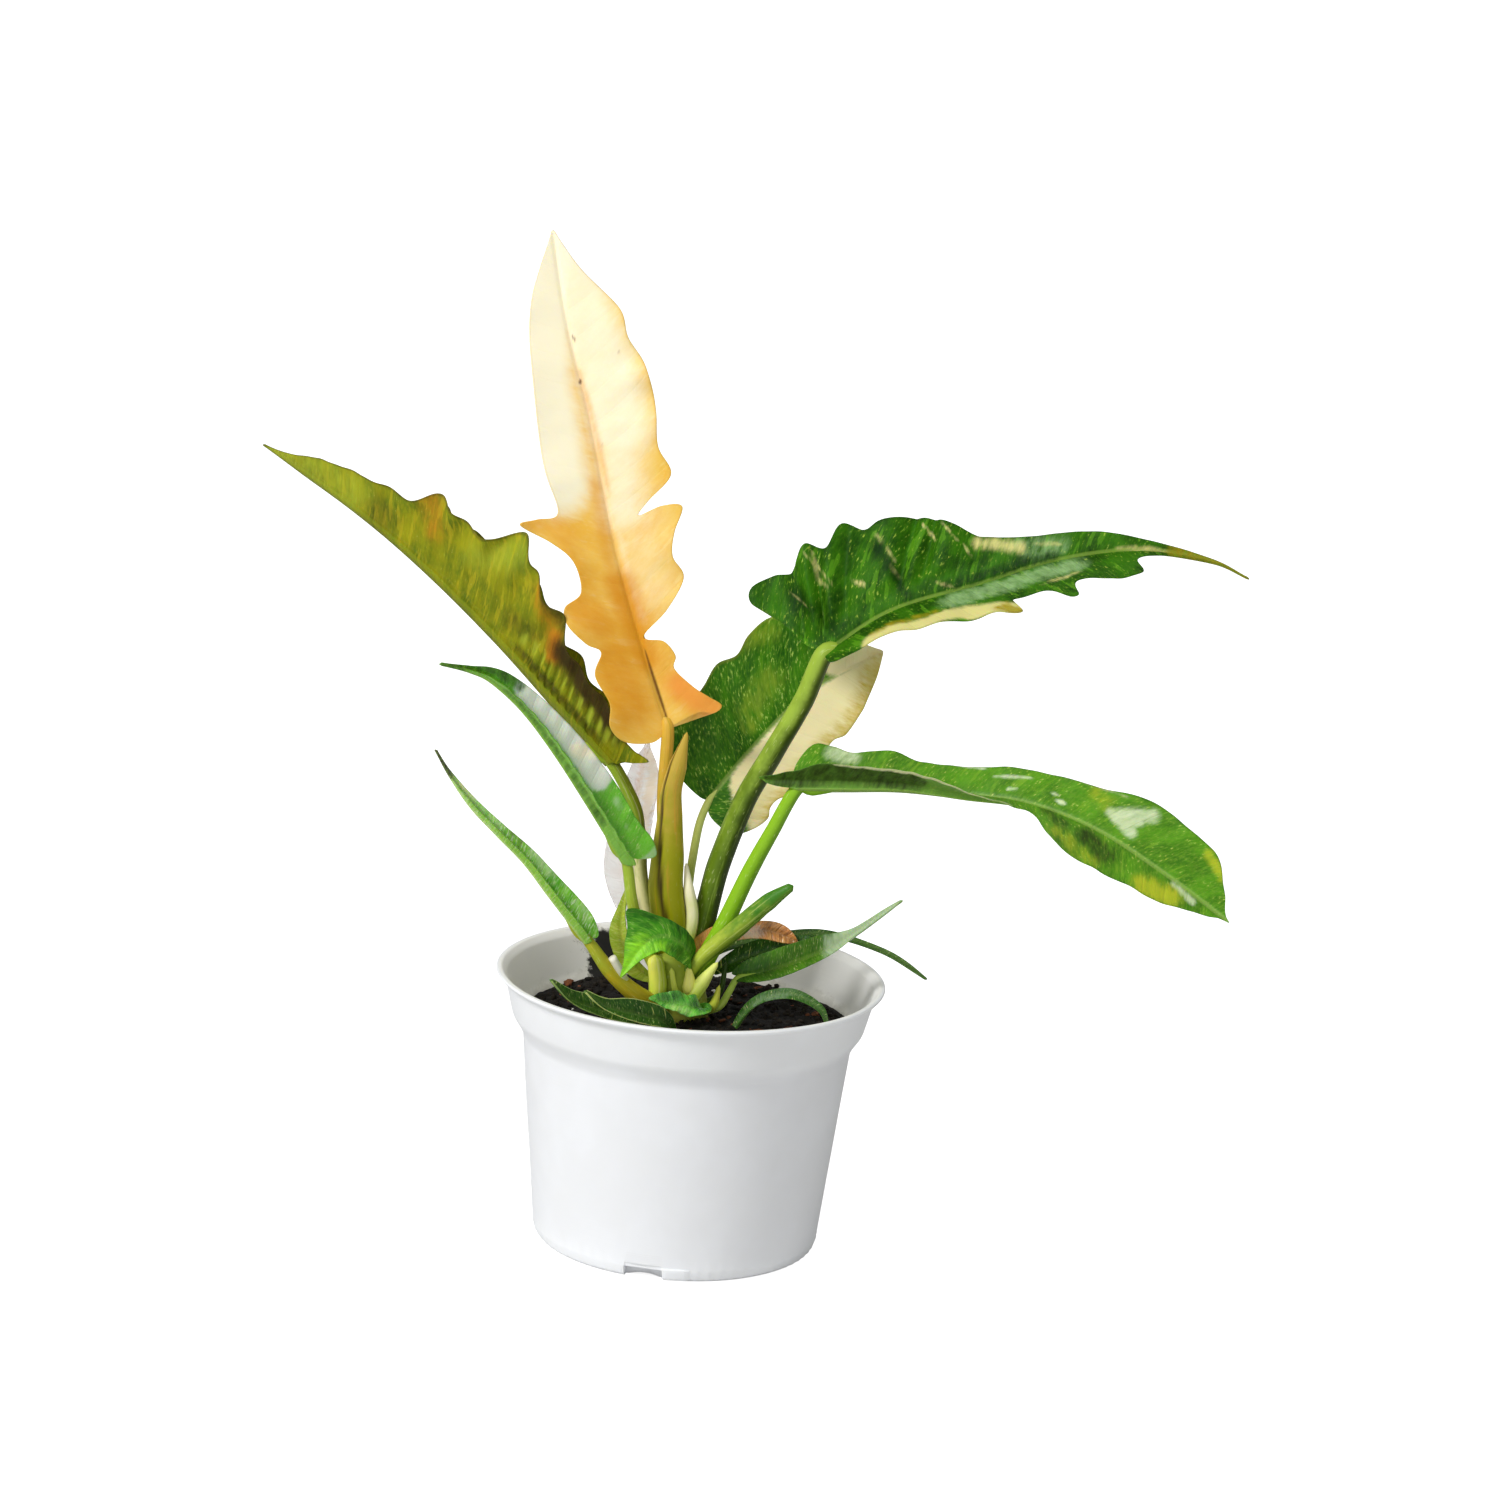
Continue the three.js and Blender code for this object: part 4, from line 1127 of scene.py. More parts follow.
LEAF_FORMS = [
    LeafForm(
        "cream_leaf", seed=51, fold=[14, 8, 6], keel=2.2, quilt=0.12, ruffle=1.4, ruffle_length=34.0,
        vein_pitch=12.0,
        rib=[
            [-16, 10, 213], [-28, 13, 244], [-42, 19, 284], [-56, 30, 335], [-68, 38, 373],
            [-76, 44, 409],
        ],
        face=[[0.1, -1, 0.15], [0.05, -1, 0.2]],
        left=[
            [-2, 3], [-3, 9], [1, 19], [9, 23], [18, 20], [30, 22], [38, 17], [43, 22], [52, 27],
            [59, 26], [63, 18], [75, 18], [84, 25], [93, 36], [94, 29], [95, 20], [112, 22], [135, 21],
            [162, 17], [180, 13], [194, 7], [203, 2.5],
        ],
        right=[
            [1, 3], [3, 14], [1, 20], [3, 24], [8, 20], [14, 15], [23, 10], [28, 12], [35, 9], [39, 1.5],
            [47, 14], [58, 24], [68, 22], [78, 25], [88, 30], [90, 22], [88, 12], [93, 17], [102, 28],
            [114, 25], [128, 27], [145, 27], [158, 23], [172, 22], [191, 9], [202, 3],
        ],
        marks={
            Tint.FIRST: [
                Mark([[106, -17], [150, -15], [200, -1]], 12, 6),
                Mark([[124, 11], [150, 11], [200, 2]], 13, 7, 0.9), Mark([[92, 7], [126, 10]], 9, 8, 0.8),
                # The thin second stroke below is a painted highlight beside the rib.
                Mark([[58, 10], [92, 12]], 10, 9, 0.3), Mark([[46, 3.2], [98, 3]], 1.6, 2, 0.4),
            ],
            Tint.SECOND: [
                Mark([[14, -12], [34, -13]], 9, 6, 0.7), Mark([[48, -14], [58, -20]], 7, 6, 0.7),
                Mark([[30, 0], [62, -2]], 6, 5, 0.85), Mark([[12, 12], [30, 7]], 6, 5, 0.4),
                Mark([[62, -16], [84, -20]], 6, 6, 0.45), Mark([[100, 2], [150, 0.5]], 0.8, 1.5, 0.35),
                Mark([[60, -3.5], [104, -3]], 2.2, 2.5, 0.4),
            ],
            Tint.THIRD: [Mark([[16, 11], [4, 20]], 6, 4, 0.9), Mark([[92, -36], [92, -24]], 4, 4, 0.3)],
            Tint.FOURTH: [
                # Painted shadow: a dark line along the rib at the foot, where the basal lobes fold
                # together over it. The small strokes after it are brown specks.
                Mark([[-1, 0.9], [34, 0.7]], 0.7, 0.5, 0.9),
                Mark([[145, -0.6], [146.5, 0]], 0.6, 0.4, 0.9),
                Mark([[153, 18], [153.5, 18.5]], 0.5, 0.4, 0.8),
                Mark([[165, 0.8], [162, 1.8]], 0.35, 0.3, 0.8),
                Mark([[118, 2.5], [119, 2.7]], 0.35, 0.3, 0.7),
                Mark([[172, 3], [172.4, 3.2]], 0.3, 0.3, 0.6),
            ],
        },
    ),
    LeafForm(
        "olive_leaf", seed=52, fold=[66], fold_right=[60], keel=2.2, quilt=0.4, ruffle=1.2,
        ruffle_length=17.0, vein_pitch=8.5, tip=26.0, wave=Wave(1.8, 17, 30),
        pleats=Pleats((12, 54), (-11, -3.5), 5.0, 1.8),
        rib=[
            [-38, 11, 198], [-59, 13, 218], [-87, 16, 245], [-118, 21, 271], [-148, 27, 292],
            [-188, 35, 315],
        ],
        face=[[0.62, 0.1, 0.78]],
        left=[
            [-4, 4], [-10, 12], [-2, 11], [6, 10], [15, 15], [26, 17], [38, 18], [50, 22], [60, 29],
            [70, 28], [78, 35], [87, 41], [95, 35], [104, 26], [114, 29], [124, 27], [131, 19], [147, 15],
            [170, 9], [185, 4],
        ],
        right=[
            [-2, 4], [-3, 9], [4, 11], [14, 18], [27, 17], [40, 21], [52, 20], [63, 27], [76, 29],
            [86, 35], [97, 30], [108, 24], [119, 26], [130, 18], [150, 13], [172, 8], [186, 3],
        ],
        marks={
            Tint.FIRST: [
                Mark([[124, -24], [116, -16]], 4, 4, 0.5), Mark([[54, -19], [48, -13]], 3, 2.5),
                Mark([[70, -28], [58, -22]], 3, 3, 0.5),
            ],
            Tint.SECOND: [
                Mark([[8, -13], [30, -15], [46, -18]], 6, 4, 0.95),
                Mark([[140, -6], [134, -5]], 5, 4, 0.35), Mark([[52, -24], [66, -29]], 2.5, 2, 0.6),
                Mark([[60, -14], [70, -10]], 4, 3, 0.35), Mark([[168, 0], [192, 0]], 6, 5, 0.25),
                # Painted shadow in a thin band along the rib, beside the keel.
                Mark([[10, -3], [60, -3.4]], 1.3, 1, 0.55),
            ],
            Tint.THIRD: [
                # Painted highlights: lime beads on the pleats beside the rib.
                Mark([[8, -6.5], [60, -8.5]], 2.6, 1.8, 0.85, beat=5),
                Mark([[150, -6], [185, -3]], 6, 5, 0.45), Mark([[84, -34], [96, -20]], 5, 5, 0.5),
            ],
            Tint.FOURTH: [Mark([[197, 0], [208, 0]], 4, 3, 0.85)],
        },
    ),
    LeafForm(
        "channel_leaf", seed=53, fold=[50], keel=1.8, quilt=0.5, ruffle=0.3, vein_pitch=9.0, tip=30.0,
        rib=[
            [-29, -14, 164], [-43, -20, 186], [-58, -28, 209], [-72, -36, 228], [-85, -44, 241],
            [-94, -50, 246], [-106, -54, 249],
        ],
        face=[[0.71, -0.37, 0.6]],
        left=[[-3, 3.5], [0, 6], [14, 6], [35, 6.4], [60, 6], [85, 4.8], [105, 3.5]],
        right=[
            [-5, 6], [-7, 11], [0, 13], [12, 12], [30, 12.5], [53, 11], [74, 8.5], [95, 6], [110, 3.5],
        ],
        marks={
            Tint.FIRST: [Mark([[36, 8], [60, 7.5], [86, 6]], 5.5, 1.2)],
            Tint.SECOND: [Mark([[52, 6.5], [46, 12]], 2.6, 1.5, 0.95)],
            Tint.THIRD: [
                Mark([[90, 6], [112, 3], [124, 0]], 3, 1.5, 0.8),
                Mark([[94, -3], [20, -2]], 1.6, 1.2, 0.4),
            ],
            # Pale spots near the foot are painted highlights.
            Tint.FOURTH: [
                Mark([[-6, 3], [-5, 12]], 1.6, 0.8, 0.9), Mark([[20, 9], [23, 9]], 1.5, 1, 0.6),
                Mark([[10, 7], [12, 7]], 1.2, 1, 0.5),
            ],
        },
    ),
    LeafForm(
        "slim_leaf", seed=54, fold=[50], keel=1.4, quilt=0.25, ruffle=0.3, vein_pitch=8.0, tip=34.0,
        rib=[
            [-42, -28, 133], [-57, -36, 153], [-68, -42, 168], [-79, -48, 180], [-90, -53, 192],
            [-99, -58, 205], [-105, -62, 216],
        ],
        face=[[0.7, -0.4, 0.6]],
        left=[[0, 3], [8, 4], [22, 4], [42, 3.2], [65, 2.4], [85, 1.8], [100, 1]],
        right=[[-2, 4], [6, 7], [18, 7], [40, 5], [60, 3.6], [78, 2.6], [92, 2], [100, 1.2]],
        marks={
            Tint.FIRST: [
                Mark([[36, 5], [46, 5]], 3, 2, 0.45), Mark([[66, 2], [92, 2]], 3, 2, 0.3),
                Mark([[8, 5], [14, 6]], 2, 2, 0.4),
            ],
            Tint.SECOND: [Mark([[84, 2], [91, 2]], 1.5, 1, 0.6)],
            Tint.THIRD: [Mark([[100, 0], [116, 0]], 4, 2, 0.8), Mark([[52, 4], [58, 5]], 3, 2, 0.35)],
        },
    ),
    LeafForm(
        "arching_leaf", seed=55, fold=[30], fold_right=[14], keel=2.4, quilt=0.22, ruffle=1.0, tip=30.0,
        pleats=Pleats((-12, 70), (-46, -9), 15.0, 3.2),
        rib=[
            [46, 2, 252], [71, 0, 271], [105, -4, 285], [136, -8, 298], [168, -12, 305], [196, -14, 303],
            [212, -15, 297],
        ],
        face=[[-0.3, -0.5, 0.87], [0, -0.5, 0.87]],
        left=[
            [-6, 6], [-12, 24], [-18, 34], [-15, 40], [-5, 40], [3, 36], [9, 40], [15, 43], [20, 37],
            [27, 43], [32, 36], [38, 37], [50, 34], [64, 27], [76, 18], [95, 12], [118, 9], [138, 4],
            [155, 1.6],
        ],
        right=[
            [-1, 5], [2, 12], [14, 15], [30, 19], [48, 24], [68, 28], [86, 33], [83, 22], [100, 26],
            [111, 33], [110, 21], [124, 23], [137, 19], [135, 7], [152, 2.5],
        ],
        marks={
            Tint.FIRST: [
                # The near half's pale grey-green: partly its paler underside, partly a painted sheen.
                Mark([[58, 8], [86, 9], [108, 8]], 5.5, 3.5, 0.75),
                Mark([[92, -5], [104, -6]], 3, 3, 0.5), Mark([[86, -11], [96, -9]], 2, 2, 0.4),
            ],
            Tint.SECOND: [
                # Thin light strokes: painted glints, together with streaks of the leaf's own. The wide
                # stroke on the right half is its cream margin.
                Mark([[15.5, -38], [12, -27], [14, -22]], 0.4, 0.8, 0.55),
                Mark([[35, -32], [36, -28]], 0.3, 0.8, 0.45), Mark([[37, -25], [38, -18]], 0.4, 0.8, 0.5),
                Mark([[51, -31], [55, -23]], 0.3, 0.5, 0.7), Mark([[59, -29], [64, -20]], 0.3, 0.5, 0.6),
                Mark([[66, -18], [68, -12]], 0.5, 0.5, 0.6),
                Mark([[72, -17], [80, -14], [88, -9]], 1.9, 2.4, 0.75),
                Mark([[94, -9], [104, -6]], 0.8, 0.9, 0.5), Mark([[52, -5], [59, -1]], 0.4, 0.6, 0.6),
                Mark([[22, -20], [26, -14]], 0.6, 0.6, 0.9), Mark([[-2, -30], [2, -20]], 0.3, 0.4, 0.7),
                Mark([[13, -40], [16, -22]], 0.2, 0.3, 0.6), Mark([[36, -18], [38, -12]], 0.4, 0.4, 0.6),
                Mark([[20, 15], [44, 21], [62, 20], [84, 31]], 4.5, 1.6),
                Mark([[126, -1], [146, 0]], 1, 1, 0.5), Mark([[96, 19], [112, 14]], 0.9, 0.7, 0.6),
            ],
            Tint.THIRD: [
                # Painted shade: dark creases, dark valleys between the pleats and a dark band beside the
                # rib. The last stroke darkens the tip.
                Mark([[33, -30], [36, -18], [39, -3]], 1.6, 2.2, 0.75),
                Mark([[-1, -27], [3, -16], [8, -5]], 3.5, 4, 0.6),
                Mark([[27, -33], [22, -25]], 1.5, 2.5, 0.5),
                Mark([[56, -3], [78, -2.5], [100, -2]], 2, 2.5, 0.6),
                Mark([[14, -30], [11, -20]], 1, 2, 0.5), Mark([[60, -12], [72, -9]], 3, 4, 0.4),
                Mark([[186, 0], [212, 0]], 5, 4, 0.75),
            ],
            Tint.FOURTH: [
                Mark([[79, 27], [86, 33]], 3, 2.5, 0.9), Mark([[22, 11], [50, 15]], 1.8, 1.5, 0.5),
                Mark([[150, 0], [182, 0]], 4, 3, 0.6),
            ],
        },
    ),
    LeafForm(
        "half_moon_leaf", seed=56, fold=[8], keel=1.6, quilt=0.18, vein_pitch=9.0,
        rib=[[2, 26, 180], [16, 30, 199], [35, 36, 221], [53, 40, 235], [70, 44, 244]],
        face=[[0, -0.95, 0.3]],
        left=[
            [-1, 4], [0, 14], [5, 24], [13, 30], [23, 31], [34, 32], [43, 34], [50, 31], [57, 34],
            [66, 34], [73, 26], [79, 17], [88, 8],
        ],
        right=[
            [-4, 4], [-5, 11], [-4, 17], [3, 22], [10, 24], [14, 22], [19, 22], [26, 25], [40, 25],
            [55, 22], [64, 23], [77, 18], [88, 10],
        ],
        marks={
            Tint.FIRST: [
                Mark([[18, 12.6], [50, 12.8], [90, 12.8]], 12, 1), Mark([[12, 17], [8, 24]], 7, 1.5),
                Mark([[78, -6], [95, -4]], 7.5, 1.2),
            ],
            Tint.SECOND: [Mark([[14, 25], [50, 25], [66, 24], [80, 18], [92, 6]], 5, 6, 0.85)],
            Tint.THIRD: [
                Mark([[40, -12], [52, -14]], 5, 4, 0.5), Mark([[56, -33], [62, -30]], 4, 4, 0.5),
                Mark([[40, -9], [34, -7]], 3, 2, 0.5),
            ],
        },
    ),
    LeafForm(
        "twisting_leaf", seed=57, fold=[40, 35, 20, 8, 8], fold_right=[56, 52, 25, 12, 10], keel=2.2,
        quilt=0.3, ruffle=0.8, vein_pitch=10.0, tip=8.0,
        rib=[
            [39, -11, 199], [59, -14, 201], [80, -18, 203], [105, -24, 203], [131, -32, 203],
            [159, -42, 196], [187, -52, 182], [212, -60, 167],
        ],
        face=[[0, -0.1, 1], [0, -0.2, 1], [0.05, -0.5, 0.87], [0.2, -0.8, 0.55], [0.2, -0.8, 0.5]],
        left=[
            [-3, 6], [0, 14], [5, 19], [12, 18], [21, 15], [36, 16], [46, 12], [62, 12], [81, 14],
            [100, 15], [118, 17], [137, 22], [152, 21], [168, 19], [178, 10],
        ],
        right=[
            [-16, 4], [-8, 7], [1, 10], [13, 15], [27, 14], [40, 13], [56, 14], [75, 14], [90, 11],
            [99, 9], [110, 19], [125, 21], [144, 16], [161, 13], [174, 7],
        ],
        marks={
            Tint.FIRST: [
                Mark([[126, -9], [136, -6]], 2.2, 1.3, 0.85),
                Mark([[129, -10], [139, -17]], 2.8, 1.5, 0.8), Mark([[132, -7], [136, -12]], 2, 1.2, 0.9),
                Mark([[104, -4.5], [108, -4.5]], 0.9, 0.6), Mark([[101, -7], [104, -7]], 0.6, 0.5, 0.8),
                # The first stroke below, beside the rib near the tip, is a painted highlight.
                Mark([[162, 2], [172, 3]], 1.5, 1.2, 0.8), Mark([[13, -15], [19, -13]], 3.8, 2.2, 0.65),
                Mark([[62, -12], [74, -12.5]], 0.5, 0.5, 0.7), Mark([[78, -9], [92, -11]], 0.7, 0.6, 0.8),
                Mark([[84, -4], [88, -5]], 0.8, 0.6, 0.9),
            ],
            Tint.SECOND: [
                Mark([[153, 11], [164, 8]], 4.5, 3, 0.9), Mark([[166, -17], [175, -13]], 2, 1.5, 0.8),
                Mark([[118, -14], [122, -12]], 3, 3, 0.4), Mark([[112, 14], [130, 17]], 4, 3, 0.35),
            ],
            Tint.THIRD: [
                Mark([[123, 7], [133, 10]], 4.5, 3, 0.75), Mark([[-8, 8], [20, 10], [46, 8]], 7, 2, 0.8),
                Mark([[104, 3], [112, 8]], 3, 2.5, 0.5),
            ],
            Tint.FOURTH: [
                Mark([[16, 15], [40, 12.6], [56, 13.6], [75, 13.6], [90, 10.5]], 1.1, 0.6, 0.9),
                Mark([[92, -15], [128, -18]], 0.6, 0.6, 0.5),
            ],
        },
    ),
]

YOUNG_LEAF_FORMS = [
    YoungLeafForm(
        "blush_sheath", seed=101, fold=[24], keel=0.8,
        rib=[
            [-9, 3, 116], [-21, 12, 129], [-29, 15, 145], [-31, 17, 158], [-28, 18, 176], [-24, 18, 205],
        ],
        face=[[-0.1, -1, 0.1]],
        left=[[5, 3], [22, 6], [38, 8], [52, 8], [70, 7], [88, 5]],
        right=[[5, 3], [22, 8], [38, 10.5], [52, 11], [70, 9.5], [88, 7.5]],
        marks={
            Tint.FIRST: [Mark([[46, 5], [94, 4]], 4.5, 2.5)],
            Tint.SECOND: [Mark([[50, 2], [88, 1.5]], 1.6, 1.5, 0.7)],
            Tint.THIRD: [Mark([[60, -1], [92, 0]], 1.4, 1.2, 0.45)],
        },
    ),
    YoungLeafForm(
        "folded_leaf", seed=102, fold=[6], keel=0.8, quilt=0.35, fine=0.7,
        rib=[
            [-1, -8, 116], [0, -16, 125], [-6, -22, 133], [-14, -26, 135.5], [-21, -30, 130.5],
            [-28, -34, 119.5],
        ],
        face=[[0.2, -0.6, 0.75], [0, -0.9, 0.4]],
        left=[[7, 3], [14, 6], [25, 8], [37, 6], [48, 2.5]],
        right=[
            [7, 3], [15, 5], [22, 6.2], [28, 6.8], [32.5, 9], [37, 15.5], [40, 10], [45, 6], [50, 2.6],
        ],
        marks={
            Tint.FIRST: [Mark([[42, 1], [58, 0]], 3.5, 4, 0.75), Mark([[30, -5], [44, -4]], 2, 2.5, 0.5)],
            Tint.THIRD: [
                Mark([[12, 4], [28, 8]], 4, 4, 0.7), Mark([[33, 8], [36, 14]], 2.5, 3, 0.6),
                Mark([[20, -4], [28, -5]], 2, 2.5, 0.5),
            ],
        },
    ),
    YoungLeafForm(
        "olive_sheath", seed=103, fold=[20], keel=0.8,
        rib=[[-13, -3, 109], [-24, -3, 116], [-30, -4, 130], [-29, -4, 148]],
        face=[[-0.5, -0.85, 0.2]],
        left=[[6, 2.5], [16, 4.5], [28, 4.5], [38, 2]],
        right=[[6, 2.5], [16, 4.5], [28, 4.5], [38, 2]],
    ),
    YoungLeafForm(
        "dried_bract", seed=104, fold=[12], keel=0.6,
        rib=[[-4, -1, 114], [6, 0, 127], [17, 1, 132], [31, 2, 133], [43, 1, 129]],
        face=[[0, -1, 0.35]],
        left=[[8, 4], [20, 4.5], [34, 3.5], [46, 4], [52, 2.5]],
        right=[[8, 4], [20, 4], [34, 3.5], [46, 3.5], [52, 2]],
        marks={
            Tint.FIRST: [Mark([[20, 1], [38, 1]], 2.6, 1.8, 0.85)],
            Tint.SECOND: [Mark([[42, 0], [56, 0]], 4, 3, 0.5), Mark([[26, -3], [34, -3]], 1.2, 1, 0.6)],
        },
    ),
    YoungLeafForm(
        "low_leaf_right", seed=105, fold=[20], fold_right=[12], keel=1.2,
        rib=[[19, -2, 114], [36, -5, 120], [59, -12, 134], [83, -20, 156]],
        face=[[-0.1, -0.75, 0.65]],
        left=[[-2, 2], [6, 6], [20, 7.5], [38, 6.4], [46, 4.2], [54, 2], [62, 1.2], [70, 0.8]],
        right=[[-1, 2], [8, 4.5], [22, 5], [38, 4], [46, 3], [54, 1.4], [62, 0.9], [70, 0.6]],
        marks={
            Tint.FIRST: [Mark([[44, 0], [74, 0]], 5, 3, 0.85)],
            Tint.THIRD: [Mark([[-2, 0], [12, -2]], 5, 4, 0.7)],
        },
    ),
    YoungLeafForm(
        "grass_leaf", seed=106, fold=[15], keel=0.5,
        rib=[[-2, 6, 113], [13, 8, 123], [32, 10, 128], [54, 11, 131], [78, 9, 126], [97, 4, 117]],
        face=[[0, -0.5, 0.87]],
        left=[[5, 1.5], [25, 2.2], [50, 2], [75, 1.2], [95, 1]],
        right=[[5, 1.5], [25, 2.2], [50, 2], [75, 1.2], [95, 1]],
    ),
    YoungLeafForm(
        "strap_leaf", seed=107, fold=[14], keel=0.6,
        rib=[
            [17, -16, 88], [20, -17, 99], [28, -21, 110], [41, -26, 115], [53, -29, 111], [58, -30, 103],
        ],
        face=[[-0.8, -0.5, 0.3], [-0.1, -0.7, 0.7], [0.6, -0.6, 0.5]],
        left=[[8, 1.2], [22, 2.0], [40, 2.4], [54, 1.6]],
        right=[[8, 1.2], [22, 2.0], [40, 2.4], [54, 1.6]],
        marks={
            Tint.FIRST: [Mark([[24, 1], [38, 1]], 2, 2, 0.35)],
        },
    ),
    YoungLeafForm(
        "front_leaf_left", seed=108, fold=[18], keel=0.8,
        rib=[[-15, -19, 88], [-21, -24, 99], [-35, -32, 105], [-47, -39, 111], [-55, -44, 120]],
        face=[[0.3, -0.6, 0.75]],
        left=[[10, 2], [22, 4.5], [36, 4.5], [48, 2.5]],
        right=[[10, 2], [22, 5], [36, 5], [48, 3]],
    ),
    YoungLeafForm(
        "front_leaf_low", seed=109, fold=[18], keel=0.8,
        rib=[[-3, -21, 87], [-8, -29, 100], [-20, -38, 106], [-33, -46, 111], [-41, -50, 118]],
        face=[[0.2, -0.7, 0.7]],
        left=[[10, 2], [22, 4.5], [36, 5], [48, 2.5]],
        right=[[10, 2], [22, 5.5], [36, 5.5], [48, 3]],
    ),
    YoungLeafForm(
        "ruffled_leaf", seed=110, fold=[10], keel=0.8, quilt=0.6, ruffle=0.9, ruffle_length=8.0,
        vein_pitch=4.0, fine=0.6, wave=Wave(1, 11, 5),
        rib=[[1, -9, 101], [6, -16, 104], [1, -22, 106], [-7, -25, 108], [-16, -27, 110]],
        face=[[0, -0.7, 0.7]],
        left=[[5, 2], [13, 4.5], [22, 5], [30, 3]],
        right=[[5, 2], [13, 4.5], [22, 5], [30, 3.5]],
        marks={
            # Painted highlights in the first tint, and painted shade in the creases in the third.
            Tint.FIRST: [Mark([[6, 3], [12, 4]], 2, 2, 0.5), Mark([[20, -3], [26, -3]], 2, 2, 0.5)],
            Tint.THIRD: [Mark([[10, -2], [16, 1]], 2, 2, 0.6), Mark([[24, 3], [30, 1]], 2, 2, 0.6)],
        },
    ),
    YoungLeafForm(
        "low_leaf_rear", seed=111, node="low_leaf_right", fold=[12], keel=0.6,
        rib=[[8.5, 4, 113.3], [21.6, 4, 120.2], [37.7, 4, 125.6], [51, 4, 130]],
        face=[[-0.1, -0.75, 0.65]],
        left=[[6, 3.5], [20, 6], [34, 5], [42, 2.5]],
        right=[[6, 3.5], [20, 5], [34, 4], [42, 2]],
    ),
]


# Stalks, sheaths and shoots


@dataclass(frozen=True)
class Seam:
    """The edge of a rolled leaf or sheath, which winds up its side."""

    foot_deg: float
    top_deg: float
    height: float = 0.12
    width_deg: float = 9.0


@dataclass(frozen=True)
class StalkForm:
    """The shape of a stalk or shoot. Radii run evenly from foot to top.

    A stalk that carries a blade runs on under the foot of its rib. A blunt one ends in a flat cut.
    """

    name: str
    line: list[list[float]]
    radii: list[float]
    wide: list[float] = field(default_factory=lambda: [0.0, 1.0, 0.0])
    flat: float = 1.0
    carries: str = ""
    seam: Seam | None = None
    blunt: bool = False
    rings: float = 0.0
    seed: int = 1


